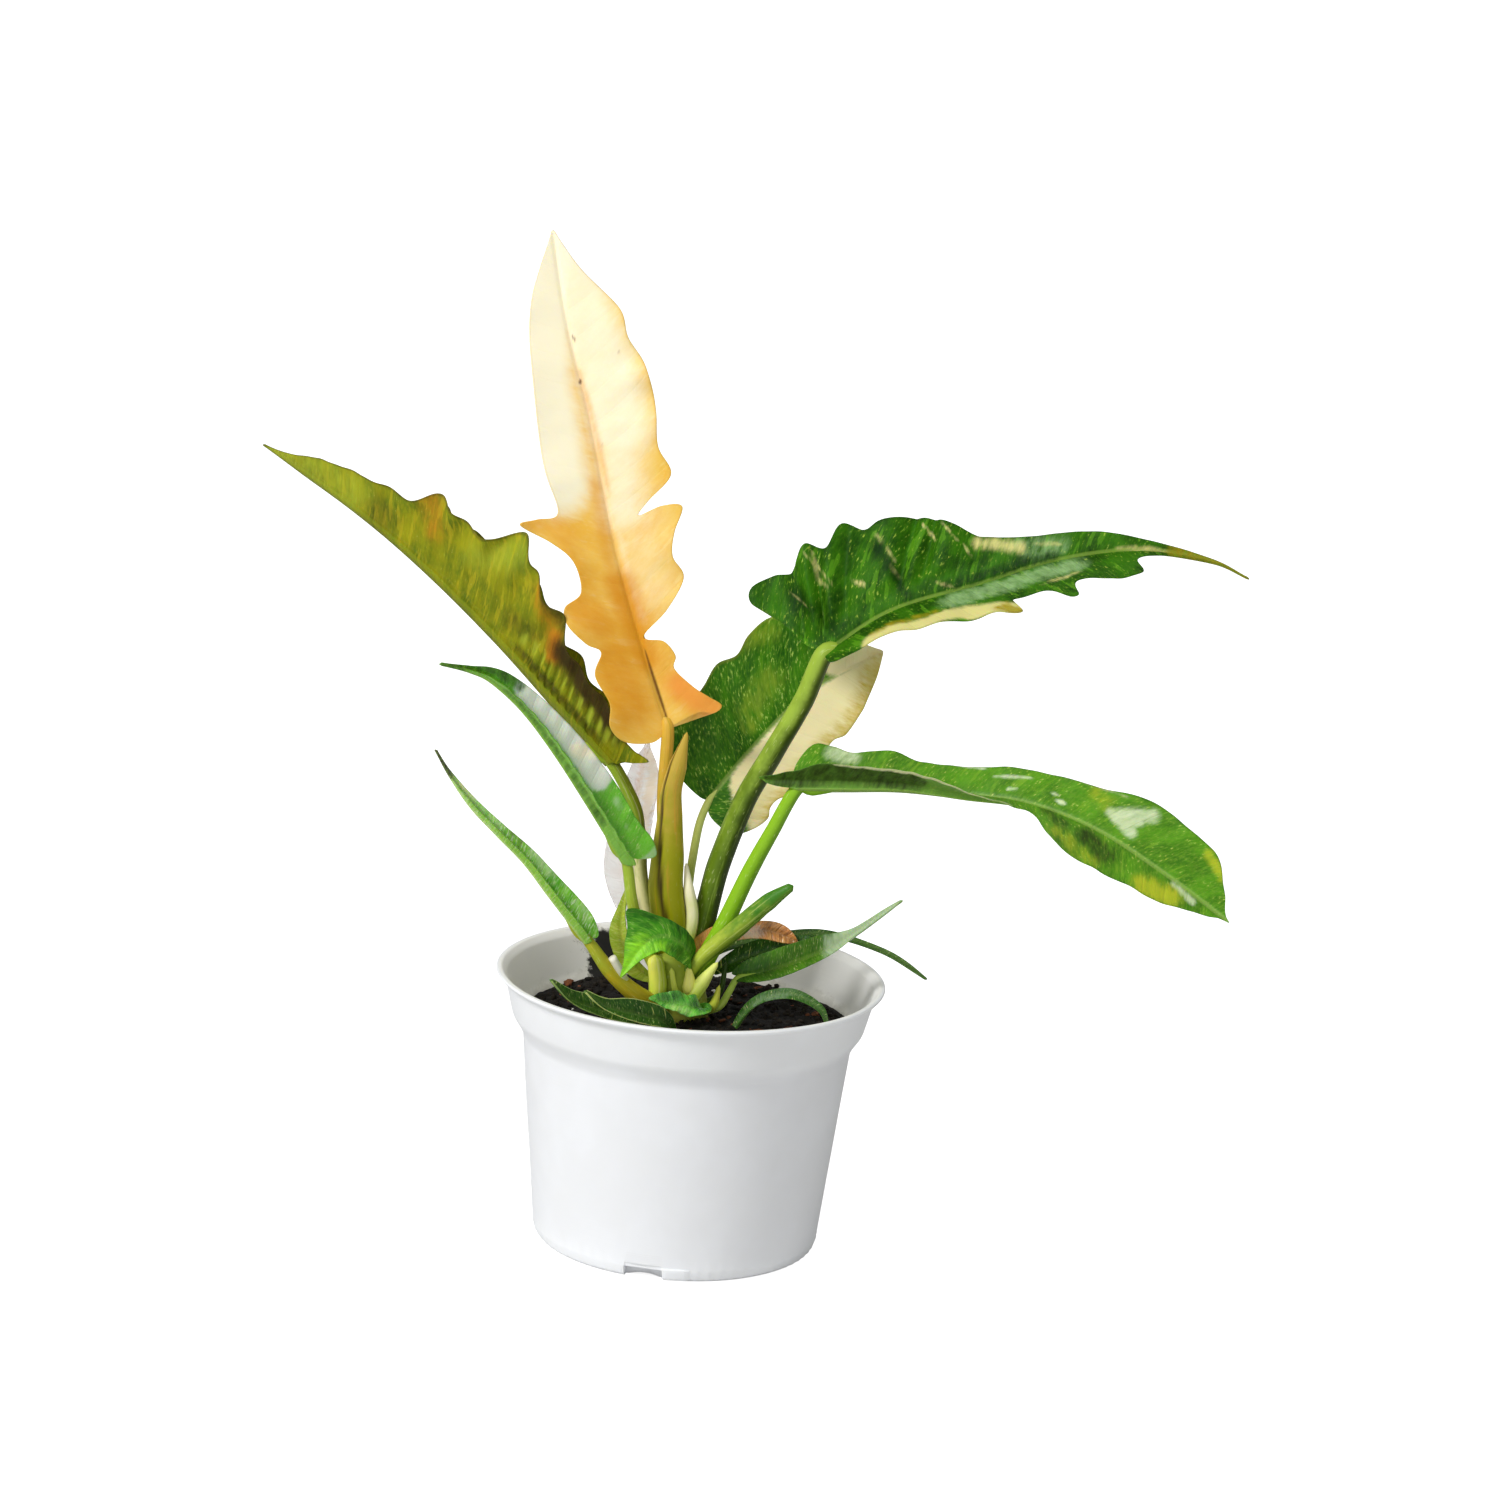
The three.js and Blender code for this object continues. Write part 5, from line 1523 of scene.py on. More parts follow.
class Stalk:
    """One round stalk, sheath or rolled leaf, with faint ridges and a seam where it is rolled."""

    SIDES = 32
    STEP = 1.5
    RIDGES = 9
    RIDGE = 0.012
    LUMP = 0.02
    RING = 0.03
    SEAM_FADE = 0.75
    # The painted seam fades in before its step and out after it, as shares of a turn
    SEAM_IN = (0.93, 0.99)
    SEAM_OUT = 0.03
    # How far a stalk runs on under its blade and in which steps, how much thinner it gets there,
    # how deep it may lie in the keel, and how far it stays below the upper side
    RUN_UNDER = 14.0
    RUN_STEPS = (0.35, 1.0)
    RUN_THINNER = 0.4
    RUN_IN_KEEL = 0.75
    RUN_CLEAR = 0.3
    # A round end: how long its bend is for its radius, what is added to that, and its least share
    TIP_BEND = 0.8
    TIP_LONGER = 0.2
    TIP_LEAST = 0.02

    def __init__(self, form: StalkForm, blades: dict[str, Blade]) -> None:
        """Reads the line, and runs it on under the blade that the stalk carries."""
        self.form = form
        line = [list(point) for point in form.line]
        radii = list(spread(form.radii, np.linspace(0.0, 1.0, len(line))))
        if form.carries:
            blade = blades[form.carries]
            keel = blade.form.keel
            for reach in self.RUN_STEPS:
                along = np.array([reach * self.RUN_UNDER])
                radius = radii[-1] * (1.0 - self.RUN_THINNER * reach)
                sunk = max(blade.THICK + keel - self.RUN_IN_KEEL * radius, radius + self.RUN_CLEAR)
                line.append(list((blade.surface(along, along * 0, 1, False) - blade.ups[:1] * sunk)[0]))
                radii.append(radius)
        self.line = SmoothLine(line)
        lengths = [self.line.reach[k * SmoothLine.CELLS] for k in range(len(line))]
        self.radius_at = lambda along: np.interp(along, lengths, radii)
        self.noise = Unevenness(form.seed)

    def _radius(self, along: Array, angle: Array) -> Array:
        """Gives the stalk's radius in each direction, with ridges, lumps and the seam's step."""
        form = self.form
        radius = self.radius_at(along)
        ridges = self.RIDGE * np.sin(self.RIDGES * angle + 0.02 * along)
        around = np.stack([np.cos(angle) * 2, np.sin(angle) * 2, along * 0.1], -1)
        scale = 1.0 + ridges + self.LUMP * self.noise.at(around, 1.0)
        if form.rings:
            scale = scale + self.RING * np.cos(2 * np.pi * along / form.rings) ** 8
        if form.seam:
            scale = scale + form.seam.height * self._seam_share(along, angle)
        return radius * scale

    def _seam_turn(self, along: Array, angle: Array) -> Array:
        """How far round from the seam a place lies, as a share of a turn from 0 to 1."""
        seam = self.form.seam
        at = np.radians(seam.foot_deg + (seam.top_deg - seam.foot_deg) * along / self.line.length)
        return ((angle - at) / (2 * np.pi)) % 1.0

    def _seam_share(self, along: Array, angle: Array) -> Array:
        """The step at the seam: full beside it, fading away round the stalk."""
        turn = self._seam_turn(along, angle)
        width = self.form.seam.width_deg / 360.0
        return fade(turn, 0.0, width) * (1.0 - fade(turn, width, self.SEAM_FADE))

    def build(self, material: Material) -> Piece:
        """Makes the stalk's mesh.

        Args:
            material: Its finish.

        Returns:
            The new piece.
        """
        form = self.form
        count = max(6, round(self.line.length / self.STEP))
        along = np.linspace(0.0, self.line.length, count + 1)
        centre, tangent = self.line.at(along), self.line.heading(along)
        wide = unit(np.array(form.wide) - (tangent @ np.array(form.wide))[:, None] * tangent)
        deep = np.cross(tangent, wide)
        grid_along, grid_angle = np.meshgrid(along, turns(self.SIDES), indexing="ij")
        radius = self._radius(grid_along, grid_angle)
        cos, sin = np.cos(grid_angle), np.sin(grid_angle)
        if not form.blunt:
            bend = self.TIP_BEND * self.radius_at(along[-1:])[0] + self.TIP_LONGER
            left = np.minimum(1.0, (self.line.length - grid_along) / bend)
            radius = radius * np.sqrt(np.clip(1.0 - (1.0 - left) ** 2, self.TIP_LEAST, 1.0))
        places = centre[:, None] + wide[:, None] * (radius * cos)[..., None]
        places = places + deep[:, None] * (radius * sin * form.flat)[..., None]
        skin = Skin(stalk_round=3, stalk_part=3)
        seam = np.zeros_like(grid_along)
        if form.seam:
            turn = self._seam_turn(grid_along, grid_angle)
            seam = fade(turn, *self.SEAM_IN) + (1.0 - fade(turn, 0.0, self.SEAM_OUT)) * (turn < 0.5)
        part = np.stack([grid_along / self.line.length, seam, grid_along], -1)
        round_place = np.stack([cos, sin, grid_along], -1)
        ids = skin.add(places, stalk_round=round_place, stalk_part=part)
        ids = np.column_stack([ids, ids[:, 0]])
        skin.strip(ids)
        for row, flip in ((0, True), (-1, False)):
            axis = np.array([0.0, 0.0, along[row]])
            middle = skin.add(centre[row][None], stalk_round=axis, stalk_part=part[row, 0])
            middles = np.broadcast_to(middle, ids[row, 1:].shape)
            skin.cover(middles, ids[row, :-1], ids[row, 1:], flip=flip)
        return skin.build(f"{form.name}_skin", material)


STALK_FORMS = [
    StalkForm(
        "cream_stalk", seed=201, carries="cream_leaf", radii=[3.6, 3.2, 2.8, 2.6],
        line=[[-7, 2, 118], [-9, 9, 136], [-13, 10, 158], [-16, 10, 183], [-16, 10, 212]],
    ),
    StalkForm(
        "olive_stalk", seed=202, carries="olive_leaf", radii=[3.4, 2.8, 2.6, 2.6],
        line=[[-8, -1, 112], [-19, 2, 137], [-23, 4, 152], [-25, 6, 170], [-28, 9, 181], [-38, 11, 197]],
    ),
    StalkForm(
        "channel_stalk", seed=203, carries="channel_leaf", radii=[3, 2.7, 2.4, 2.2],
        line=[[-8, -5, 106], [-16, -9, 120], [-22, -11, 133], [-26, -13, 147], [-29, -14, 163]],
    ),
    StalkForm(
        "slim_stalk", seed=204, carries="slim_leaf", radii=[4, 4, 3.4, 2.2],
        line=[[-5, -5, 103], [-14, -15, 104], [-23, -21, 110], [-33, -26, 120], [-42, -28, 132]],
    ),
    StalkForm(
        "arching_stalk", seed=205, carries="arching_leaf", radii=[4.8, 4.9, 4.6, 4.3, 3.9],
        line=[
            [-3, 2, 110], [3, 6, 130], [8, 6, 157], [17, 5, 186], [27, 4, 207], [38, 3, 230],
            [45, 2, 250],
        ],
    ),
    StalkForm(
        "half_moon_stalk", seed=206, carries="half_moon_leaf", radii=[2.2, 1.8, 1.6],
        line=[[-7, 5, 120], [-4, 14, 142], [-3, 17, 154], [-1, 22, 170], [2, 26, 179]],
    ),
    StalkForm(
        "twisting_stalk", seed=207, carries="twisting_leaf", radii=[4.4, 3.8, 3.2, 2.7],
        line=[[-2, -5, 105], [8, -7, 127], [13, -8, 139], [21, -9, 160], [29, -10, 178], [38, -11, 197]],
    ),
    StalkForm(
        "low_right_stalk", seed=208, carries="low_leaf_right", radii=[1.8, 1.5, 1.3],
        line=[[3, -6, 99], [12, -8, 102], [16, -5, 108], [19, -2, 113]],
    ),
]

SHOOT_FORMS = [
    StalkForm(
        "rolled_spear", seed=221, radii=[6.2, 6.8, 6.8, 6.4, 5, 4.1, 3.6, 0.6], wide=[1, 0, 0], flat=0.72,
        seam=Seam(-80.0, -150.0, 0.16),
        line=[
            [-9, -2, 122], [-11, -2, 136], [-13, -2, 150], [-13, -2, 163], [-13, -2, 178], [-13, -2, 190],
            [-11, -2, 201], [-8, -1, 215],
        ],
    ),
    StalkForm(
        "pale_sheath", seed=222, radii=[2.6, 2.6, 2.2, 0.6], seam=Seam(-100.0, -60.0, 0.12),
        line=[[-4, -2, 120], [-1, -2, 137], [-3, -2, 149], [-5, 0, 160]],
    ),
    StalkForm(
        "rolled_leaf", seed=223, radii=[2.2, 3, 3.5, 3.6, 3.3, 1.6], seam=Seam(-150.0, -60.0, 0.14),
        line=[[-2, -7, 110], [4, -14, 124], [17, -20, 139], [30, -25, 153], [39, -28, 161]],
    ),
    StalkForm(
        "front_stem", seed=224, radii=[3.8, 3.7, 3.3],
        line=[[-13.6, -14, 100.8], [-13, -14, 111.5], [-15, -14, 124.1]],
    ),
    StalkForm(
        "thin_stem", seed=225, radii=[1.4, 1.2, 1],
        line=[[-4, -9, 103], [-6, -15, 110], [-8, -17, 120]],
    ),
    StalkForm(
        "crown_bud", seed=226, radii=[3, 3.2, 0.8],
        line=[[0, -7, 106], [0, -14, 112], [-1, -17, 121]],
    ),
    StalkForm(
        "front_sheath", seed=227, radii=[2.9, 2.8, 0.8], seam=Seam(-90.0, -60.0, 0.14),
        line=[[-0.4, -12, 104], [5.2, -16, 114.7], [10.7, -18, 124]],
    ),
    StalkForm(
        "side_bud", seed=228, radii=[2, 2, 0.6],
        line=[[5, -7, 99], [10, -12, 104], [12, -13, 113]],
    ),
    StalkForm(
        "dark_stem", seed=229, radii=[1.6, 1.3, 0.9],
        line=[[4, -1, 100], [12, -1, 106], [14, 1, 119]],
    ),
    StalkForm(
        "cut_stub", seed=230, radii=[1.8, 1.7, 1.6], blunt=True,
        line=[[-25, -22, 112], [-28, -26, 119], [-32, -28, 126]],
    ),
]

CROWN_FORM = StalkForm(
    "stem_crown", radii=[12, 12.4, 11, 8], rings=9.0,
    line=[[-3, -2, 70], [-4, -2, 96], [-6, -2, 111], [-9, -1, 125]],
)


# Pot


@dataclass(frozen=True)
class PotFinish:
    """White moulded plastic with a satin face and a little soil dust inside.

    Heights are millimetres above the foot. A dark patch on the inside of the wall lies between two places
    round it, which are painted as lengths.
    """

    ROUND_PACE = 0.09
    DUST_FROM = 90.0
    DUST_BAND = (0.78, 0.98)
    RAGGED = 34.0
    RAGGED_TOP = 16.0
    SCATTER = (1.0, 0.98, 0.9)
    SCATTER_REACH = 3.0

    slot: str = "pot"
    ground: Paint = "f3f5f7"
    # The inside is painted lighter than the outside: painted light for the light that comes through the
    # thin wall
    inside_lightened: Paint = "fffdf4"
    cloudy: Paint = "e4e4e2"
    cloudy_share: float = 0.25
    dust: Paint = "4a3f2c"
    dust_share: float = 0.2
    dust_top: float = 103.0
    # The dark patch on the inside of the wall: its colour, where it lies round the wall and how high it
    # reaches
    dark_patch: Paint = "14110c"
    dark_patch_turn: tuple[float, float] = (140.0, 156.0)
    dark_patch_top: float = 111.0
    roughness: float = 0.38

    def dress(self, effects: Effects) -> Material:
        """Makes the material."""
        surface = Surface("white_plastic")
        w = surface.wiring
        place = w.painted("pot_place")
        _, turn, height = w.split(place)
        inside = w.painted("pot_inside", "Fac")
        clouds = w.group(effects.clouding, place=place, size=40.0, seed=2.0)
        spots = w.join(w.times(turn, self.ROUND_PACE), w.times(height, 0.12), 3.0)
        spots = w.noise(spots, 1.0, 5.0, 0.7)
        low = w.fade(height, self.DUST_FROM, self.dust_top, 0.5, 0.0)
        dusty = w.fade(w.maths("ADD", spots, low), *self.DUST_BAND)
        dusty = w.times(w.times(dusty, inside), self.dust_share)
        tone = w.fade(clouds["Cloud"], 0.0, 1.0, 0.0, self.cloudy_share)
        # Painted light: the inside of the wall is lighter than the outside
        colour = w.blend(tone, w.blend(inside, self.ground, self.inside_lightened), self.cloudy)
        colour = w.blend(dusty, colour, self.dust)
        # A dark patch on the inside of the wall, at the back on the left
        colour = w.blend(self._dark_patch(w, spots, turn, height, inside), colour, self.dark_patch)
        rings = w.noise(w.join(w.times(turn, 0.02), height, inside), 1.3, 2.0, 0.4)
        relief = w.maths("MULTIPLY_ADD", clouds["Grain"], 0.6, rings)
        rough = w.worn(clouds["Grain"], self.roughness, 0.05, 0.07)
        rough = w.maths("MULTIPLY_ADD", dusty, 0.4, rough)
        return surface.finish(colour, rough, (relief, 0.12, 0.3), {
            "Subsurface Weight": 0.5,
            "Subsurface Radius": self.SCATTER,
            "Subsurface Scale": self.SCATTER_REACH * MM,
        })

    def _dark_patch(self, w: Wiring, spots: Feed, turn: Feed, height: Feed, inside: Feed) -> Socket:
        """Gives where the inside of the wall is painted dark, with a ragged outline."""
        first, last = self.dark_patch_turn
        ragged = w.maths("MULTIPLY_ADD", w.maths("SUBTRACT", spots, 0.5), self.RAGGED, turn)
        patch_share = w.times(w.fade(ragged, first - 3.0, first + 2.0),
                        w.fade(ragged, last + 3.0, last - 2.0))
        top = w.maths("MULTIPLY_ADD", spots, self.RAGGED_TOP, height)
        patch_share = w.times(patch_share, w.fade(top, self.dark_patch_top + 10.0, self.dark_patch_top + 6.0))
        return w.times(patch_share, inside)


class NurseryPot:
    """A round tapered pot with a collar, a thin rim and drain notches at its foot."""

    # Radius and height of each corner, and how far its bend reaches
    OUTSIDE = [(0, 0, 0), (45.5, 0, 1.0), (47.5, 4, 1.0), (52, 4, 0.8), (53.5, 0, 0.5), (56, 0, 0.5),
               (57.8, 1.2, 0.9), (59, 5, 1.0), (67.5, 86, 1.6), (69.5, 90, 1.4), (72.3, 94, 1.6),
               (76.5, 110.5, 0.8), (79, 111, 0.35), (80, 112.2, 0.5), (79.6, 113, 0.35)]
    INSIDE = [(77.6, 113, 0.6), (75.2, 110.5, 0.8), (71, 94.8, 1.2), (68.3, 90.8, 1.2), (66.2, 86, 1.4),
              (57.7, 7.5, 1.4), (54, 5.3, 0.8), (46, 5.3, 0.8), (44, 1.3, 0.8), (0, 1.3, 0)]
    # Steps of a rounded corner, the longest plain stretch of the section, and how finely it is parted
    BEND_STEPS = 5
    LONGEST = 9.0
    STRETCH = 6.0
    SIDES = 288
    SEED = 71
    UNEVEN = 0.18
    # How many millimetres of painted length there are to a radian
    PAINTED_RADIUS = 70.0
    NOTCHES = 3
    NOTCH_FIRST_DEG = -101.0
    NOTCH_WIDTH = 16.0
    # Each step of a notch: how far in it starts, how high it reaches and how much narrower it is
    NOTCH_STEPS = [(53.0, 5.0, 0.0), (58.25, 6.8, 0.8)]
    NOTCH_OUT = 63.0
    NOTCH_BELOW = 0.4
    # The foot's outer wall, its ribs and the block beside each notch
    FOOT_TOP = 5.5
    FOOT_R = 56.5
    RIB_EVERY = 4
    RIB = 0.22
    BLOCK = 0.75
    BLOCK_DEG = (8.2, 18.0)
    SHARP_DEG = 40.0
    BOX_FACES = ((0, 1, 3, 2), (4, 6, 7, 5), (0, 4, 5, 1), (2, 3, 7, 6), (0, 2, 6, 4), (1, 5, 7, 3))

    def _profile(self) -> tuple[Array, Array]:
        """Rounds the corners of the section.

        Returns:
            Radius and height of each place, and whether it is on the inside.
        """
        corners = np.array(self.OUTSIDE + self.INSIDE, float)
        inside_from = len(self.OUTSIDE)
        places, inside = [], []
        for k, (radius, height, bend) in enumerate(corners):
            here = np.array([radius, height])
            curve = [here]
            if bend:
                start, end = (here + self._pull(corners[k + way, :2] - here, bend) for way in (-1, 1))
                shares = np.linspace(0, 1, self.BEND_STEPS)
                curve = [(1 - t) ** 2 * start + 2 * t * (1 - t) * here + t * t * end for t in shares]
            for place in curve:
                if places and np.linalg.norm(place - places[-1]) > self.LONGEST:
                    count = int(np.linalg.norm(place - places[-1]) // self.STRETCH)
                    between_them = np.linspace(places[-1], place, count + 2)[1:-1]
                    places += list(between_them)
                    inside += [float(k >= inside_from)] * len(between_them)
                places.append(place)
                inside.append(float(k >= inside_from))
        return np.array(places), np.array(inside)

    @staticmethod
    def _pull(stretch: Array, bend: float) -> Array:
        """Goes along a stretch as far as the bend reaches, but never to its middle."""
        return unit(stretch) * min(bend, np.linalg.norm(stretch) * 0.45)

    def build(self, material: Material) -> Piece:
        """Turns the section round the axis and cuts the drain notches.

        Args:
            material: The pot's finish.

        Returns:
            The new piece.
        """
        profile, inside = self._profile()
        turn = turns(self.SIDES)
        radius = np.broadcast_to(profile[:, :1], (len(profile), self.SIDES)).copy()
        height = np.broadcast_to(profile[:, 1:], radius.shape)
        angle = np.broadcast_to(turn, radius.shape)
        ring = np.stack([np.cos(angle) * 3, np.sin(angle) * 3, height / 30], -1)
        radius += self.UNEVEN * Unevenness(self.SEED).at(ring, 1.0) * fade(radius, 50.0, 58.0)
        foot = (height < self.FOOT_TOP) & (radius > self.FOOT_R) & (inside[:, None] == 0)
        radius += self._foot_relief(turn) * foot
        grid = np.stack([radius * np.cos(angle), radius * np.sin(angle), height], -1)
        skin = Skin(pot_place=3, pot_inside=1)
        place = np.stack([radius, angle * self.PAINTED_RADIUS, height], -1)
        ids = skin.add(grid, pot_place=place, pot_inside=np.broadcast_to(inside[:, None], radius.shape))
        skin.strip_to_points(ids, flip=True)
        pot = skin.build("pot_shell", material)
        self._cut_notches(pot)
        return pot

    def _foot_relief(self, turn: Array) -> Array:
        """Gives how far the foot stands out round the pot: fine ribs, and a block beside each notch."""
        from_notch = (np.degrees(turn) - self.NOTCH_FIRST_DEG) % (360 / self.NOTCHES)
        block = (from_notch > self.BLOCK_DEG[0]) & (from_notch < self.BLOCK_DEG[1])
        ribs = self.RIB * (np.arange(len(turn)) % self.RIB_EVERY == 0) * ~block
        return ribs + self.BLOCK * block

    def _cut_notches(self, pot: Piece) -> None:
        """Cuts the drain notches with solids that are taken away again."""
        tools = [self._notch_tool(pot, *step) for step in self.NOTCH_STEPS]
        for tool in tools:
            notches = pot.modifiers.new("notches", "BOOLEAN")
            notches.operation = "DIFFERENCE"
            notches.solver = "EXACT"
            notches.object = tool
        ready = pot.evaluated_get(bpy.context.evaluated_depsgraph_get())
        mesh = bpy.data.meshes.new_from_object(ready)
        pot.modifiers.clear()
        pot.data = mesh
        for tool in tools:
            bpy.data.objects.remove(tool)
        mesh.shade_smooth()
        mesh.set_sharp_from_angle(angle=math.radians(self.SHARP_DEG))

    def _notch_tool(self, pot: Piece, start: float, top: float, narrower: float) -> Piece:
        """Makes the boxes that cut one step of all notches.

        Args:
            pot: The pot to cut.
            start: The radius where the step starts.
            top: How high it reaches.
            narrower: How much narrower it is than the notch.

        Returns:
            The boxes as one object.
        """
        tool = Skin()
        half = (self.NOTCH_WIDTH - narrower) / 2
        heights = (-self.NOTCH_BELOW - narrower, top)
        for k in range(self.NOTCHES):
            turn = Matrix.Rotation(math.radians(self.NOTCH_FIRST_DEG + 360 * k / self.NOTCHES), 4, "Z")
            box = itertools.product((start, self.NOTCH_OUT), (-half, half), heights)
            ids = tool.add(np.array([turn @ Vector(corner) for corner in box]))
            for face in self.BOX_FACES:
                tool.cover(*(ids[i:i + 1] for i in face))
        return tool.build("notch_cutter", pot.data.materials[0])


# Soil


@dataclass(frozen=True)
class BitFinish:
    """The colours of loose bits: soil crumbs, bark or perlite."""

    dark: Paint
    light: Paint
    roughness: float = 0.9

    def dress(self, name: str, effects: Effects) -> Material:
        """Makes the material."""
        surface = Surface(name)
        w = surface.wiring
        clouds = w.group(effects.clouding, place=w.painted("bit_place"), size=1.6, seed=4.0)
        uneven = w.maths("SUBTRACT", clouds["Cloud"], 0.5)
        share = w.maths("MULTIPLY_ADD", uneven, 0.5, w.painted("bit_tone", "Fac"))
        colour = w.blend(share, self.dark, self.light)
        rough = w.worn(clouds["Grain"], self.roughness, 0.12, 0.05)
        return surface.finish(colour, rough, (clouds["Grain"], 0.7, 0.5), {"Specular IOR Level": 0.3})


@dataclass(frozen=True)
class BitForm:
    """One kind of loose bit: how many, how large, how flat, how light, and round which places.

    Each place to lie around has an x, a y and how far off a bit may be. Without any, the bits lie
    all over the bed.
    """

    name: str
    count: int
    size: tuple[float, float]
    flat: float
    tone: tuple[float, float]
    seed: int
    around: list[tuple[float, float, float]] = field(default_factory=list)
    rough: float = 0.3


class SoilBed:
    """Dark potting mix: an uneven bed, with crumbs, bark and perlite on it."""

    EDGE_R = 68.2
    EDGE_Z = 92.5
    MOUND = 4.0
    LUMP = 1.1
    CRUMB = 0.9
    CRUMB_SIZE = 5.0
    # Towards the wall the lumps end and the crumbs get lower, as shares of the edge's radius
    LUMPS_END = (0.93, 0.97)
    CRUMBS_LOWER = (0.95, 1.0)
    LOWER_BY = 0.6
    TONE = 0.35
    TONE_SWING = 0.4
    TONE_SIZE = 7.0
    SEED = 23
    RINGS = 110
    SIDES = 300
    # How far loose bits keep off the wall, how far their middles stand out, and how many are small
    CLEAR = 2.5
    LIFT = 0.18
    SMALLNESS = 2.2
    WALL = [(66.1, 87.0), (57.3, 8.0), (54, 5.8), (45.8, 5.8), (43.8, 1.8), (0, 1.8)]

    def __init__(self) -> None:
        """Prepares the bed's noise."""
        self.noise = Unevenness(self.SEED)

    def height(self, x: Array, y: Array) -> Array:
        """Gives the height of the bed."""
        share = np.hypot(x, y) / self.EDGE_R
        coarse = np.sin(x * 0.31 + 1.7 * np.sin(y * 0.23)) * np.sin(y * 0.37 + 0.6)
        fine = np.sin(x * 0.83 + 2.1) * np.cos(y * 0.71 + x * 0.29)
        lump = self.LUMP * (0.6 * coarse + 0.4 * fine) * (1 - fade(share, *self.LUMPS_END))
        crumb = self.CRUMB * self.noise.layered(np.stack([x, y, x * 0], -1), self.CRUMB_SIZE, 4)
        crumb = crumb * (1 - self.LOWER_BY * fade(share, *self.CRUMBS_LOWER))
        return self.EDGE_Z + self.MOUND * (1 - share**2) + lump + crumb

    def bed(self, material: Material) -> Piece:
        """Makes the bed, a closed body down to the pot's floor."""
        share = np.linspace(0.0, 1.0, self.RINGS + 1)
        turn = turns(self.SIDES)
        radius, angle = np.meshgrid(share * self.EDGE_R, turn, indexing="ij")
        x, y = radius * np.cos(angle), radius * np.sin(angle)
        top = np.stack([x, y, self.height(x, y)], -1)
        low = [
            np.stack([radius * np.cos(turn), radius * np.sin(turn), np.full_like(turn, height)], -1)
            for radius, height in self.WALL
        ]
        grid = np.vstack([top, np.array(low)])
        skin = Skin(bit_place=3, bit_tone=1)
        tone = self.TONE + self.TONE_SWING * self.noise.at(grid, self.TONE_SIZE)
        skin.strip_to_points(skin.add(grid, bit_place=grid, bit_tone=tone))
        return skin.build("soil_bed", material)

    def bits(self, form: BitForm, material: Material) -> Piece:
        """Scatters one kind of bit on the bed.

        Args:
            form: The kind of bit.
            material: Its finish.

        Returns:
            One piece with all of them.
        """
        rng = np.random.default_rng(form.seed)
        ball, faces = self._ball()
        if form.around:
            spots = np.array(form.around)[rng.integers(len(form.around), size=form.count)]
            away = rng.normal(0.0, 1.0, (form.count, 2)) * spots[:, 2:]
            x, y = (spots[:, :2] + away).T
        else:
            radius = (self.EDGE_R - self.CLEAR) * np.sqrt(rng.uniform(0.0, 1.0, form.count))
            angle = rng.uniform(0.0, 2 * np.pi, form.count)
            x, y = radius * np.cos(angle), radius * np.sin(angle)
        smallest, largest = form.size
        size = smallest + (largest - smallest) * rng.uniform(0, 1, form.count) ** self.SMALLNESS
        stretch = rng.uniform(0.65, 1.0, (form.count, 3)) * np.array([1.0, 1.0, form.flat])
        lumps = 1.0 + form.rough * rng.uniform(-1.0, 1.0, (form.count, len(ball)))
        places = ball * lumps[..., None] * stretch[:, None] * size[:, None, None] / 2
        places = np.einsum("nij,nkj->nki", self._tumble(rng, form.count, form.flat), places)
        centre = np.stack([x, y, self.height(x, y) + self.LIFT * size * form.flat], -1)
        places = places + centre[:, None]
        skin = Skin(bit_place=3, bit_tone=1)
        tone = np.broadcast_to(rng.uniform(*form.tone, form.count)[:, None], places.shape[:2])
        ids = skin.add(places, bit_place=places, bit_tone=tone)
        skin.cover(*(ids[:, faces[:, k]] for k in range(3)))
        return skin.build(form.name, material)

    @staticmethod
    def _ball() -> tuple[Array, Array]:
        """Gives the corners and faces of a ball with 80 faces."""
        golden = (1 + math.sqrt(5)) / 2
        corners = []
        for a, b in itertools.product((-1, 1), (-golden, golden)):
            corners += [(a, b, 0), (0, a, b), (b, 0, a)]
        corners = unit(np.array(corners))
        # Neighbours on the ball are 1.05 apart, and other corners at least 1.7
        near = 1.1
        places = list(corners)
        middles: dict[frozenset, int] = {}
        fine = []
        for i, j, k in itertools.combinations(range(len(corners)), 3):
            if max(math.dist(corners[p], corners[q]) for p, q in ((i, j), (j, k), (k, i))) > near:
                continue
            if np.dot(np.cross(corners[j] - corners[i], corners[k] - corners[i]), corners[i]) < 0:
                j, k = k, j
            halves = []
            for pair in ((i, j), (j, k), (k, i)):
                key = frozenset(pair)
                if key not in middles:
                    middles[key] = len(places)
                    places.append(unit(corners[pair[0]] + corners[pair[1]]))
                halves.append(middles[key])
            ij, jk, ki = halves
            fine += [(i, ij, ki), (j, jk, ij), (k, ki, jk), (ij, jk, ki)]
        return np.array(places), np.array(fine)

    @staticmethod
    def _tumble(rng: np.random.Generator, count: int, flat: float) -> Array:
        """Gives random turns. Flat bits lie nearly level."""
        flat_below, level_tilt, free_tilt = 0.7, 0.35, 1.5
        spin = rng.uniform(0, 2 * np.pi, count)
        tilt = rng.normal(0.0, level_tilt if flat < flat_below else free_tilt, count)
        lean = rng.uniform(0, 2 * np.pi, count)
        tumbles = [
            Matrix.Rotation(a, 3, "Z") @ Matrix.Rotation(b, 3, "X") @ Matrix.Rotation(c, 3, "Z")
            for a, b, c in zip(lean, tilt, spin)
        ]
        return np.array([[list(row) for row in tumble] for tumble in tumbles])


PERLITE_SPOTS = [(-14, -42, 4), (34, -34, 8), (40, -30, 8), (-40, 10, 14), (10, 40, 16)]
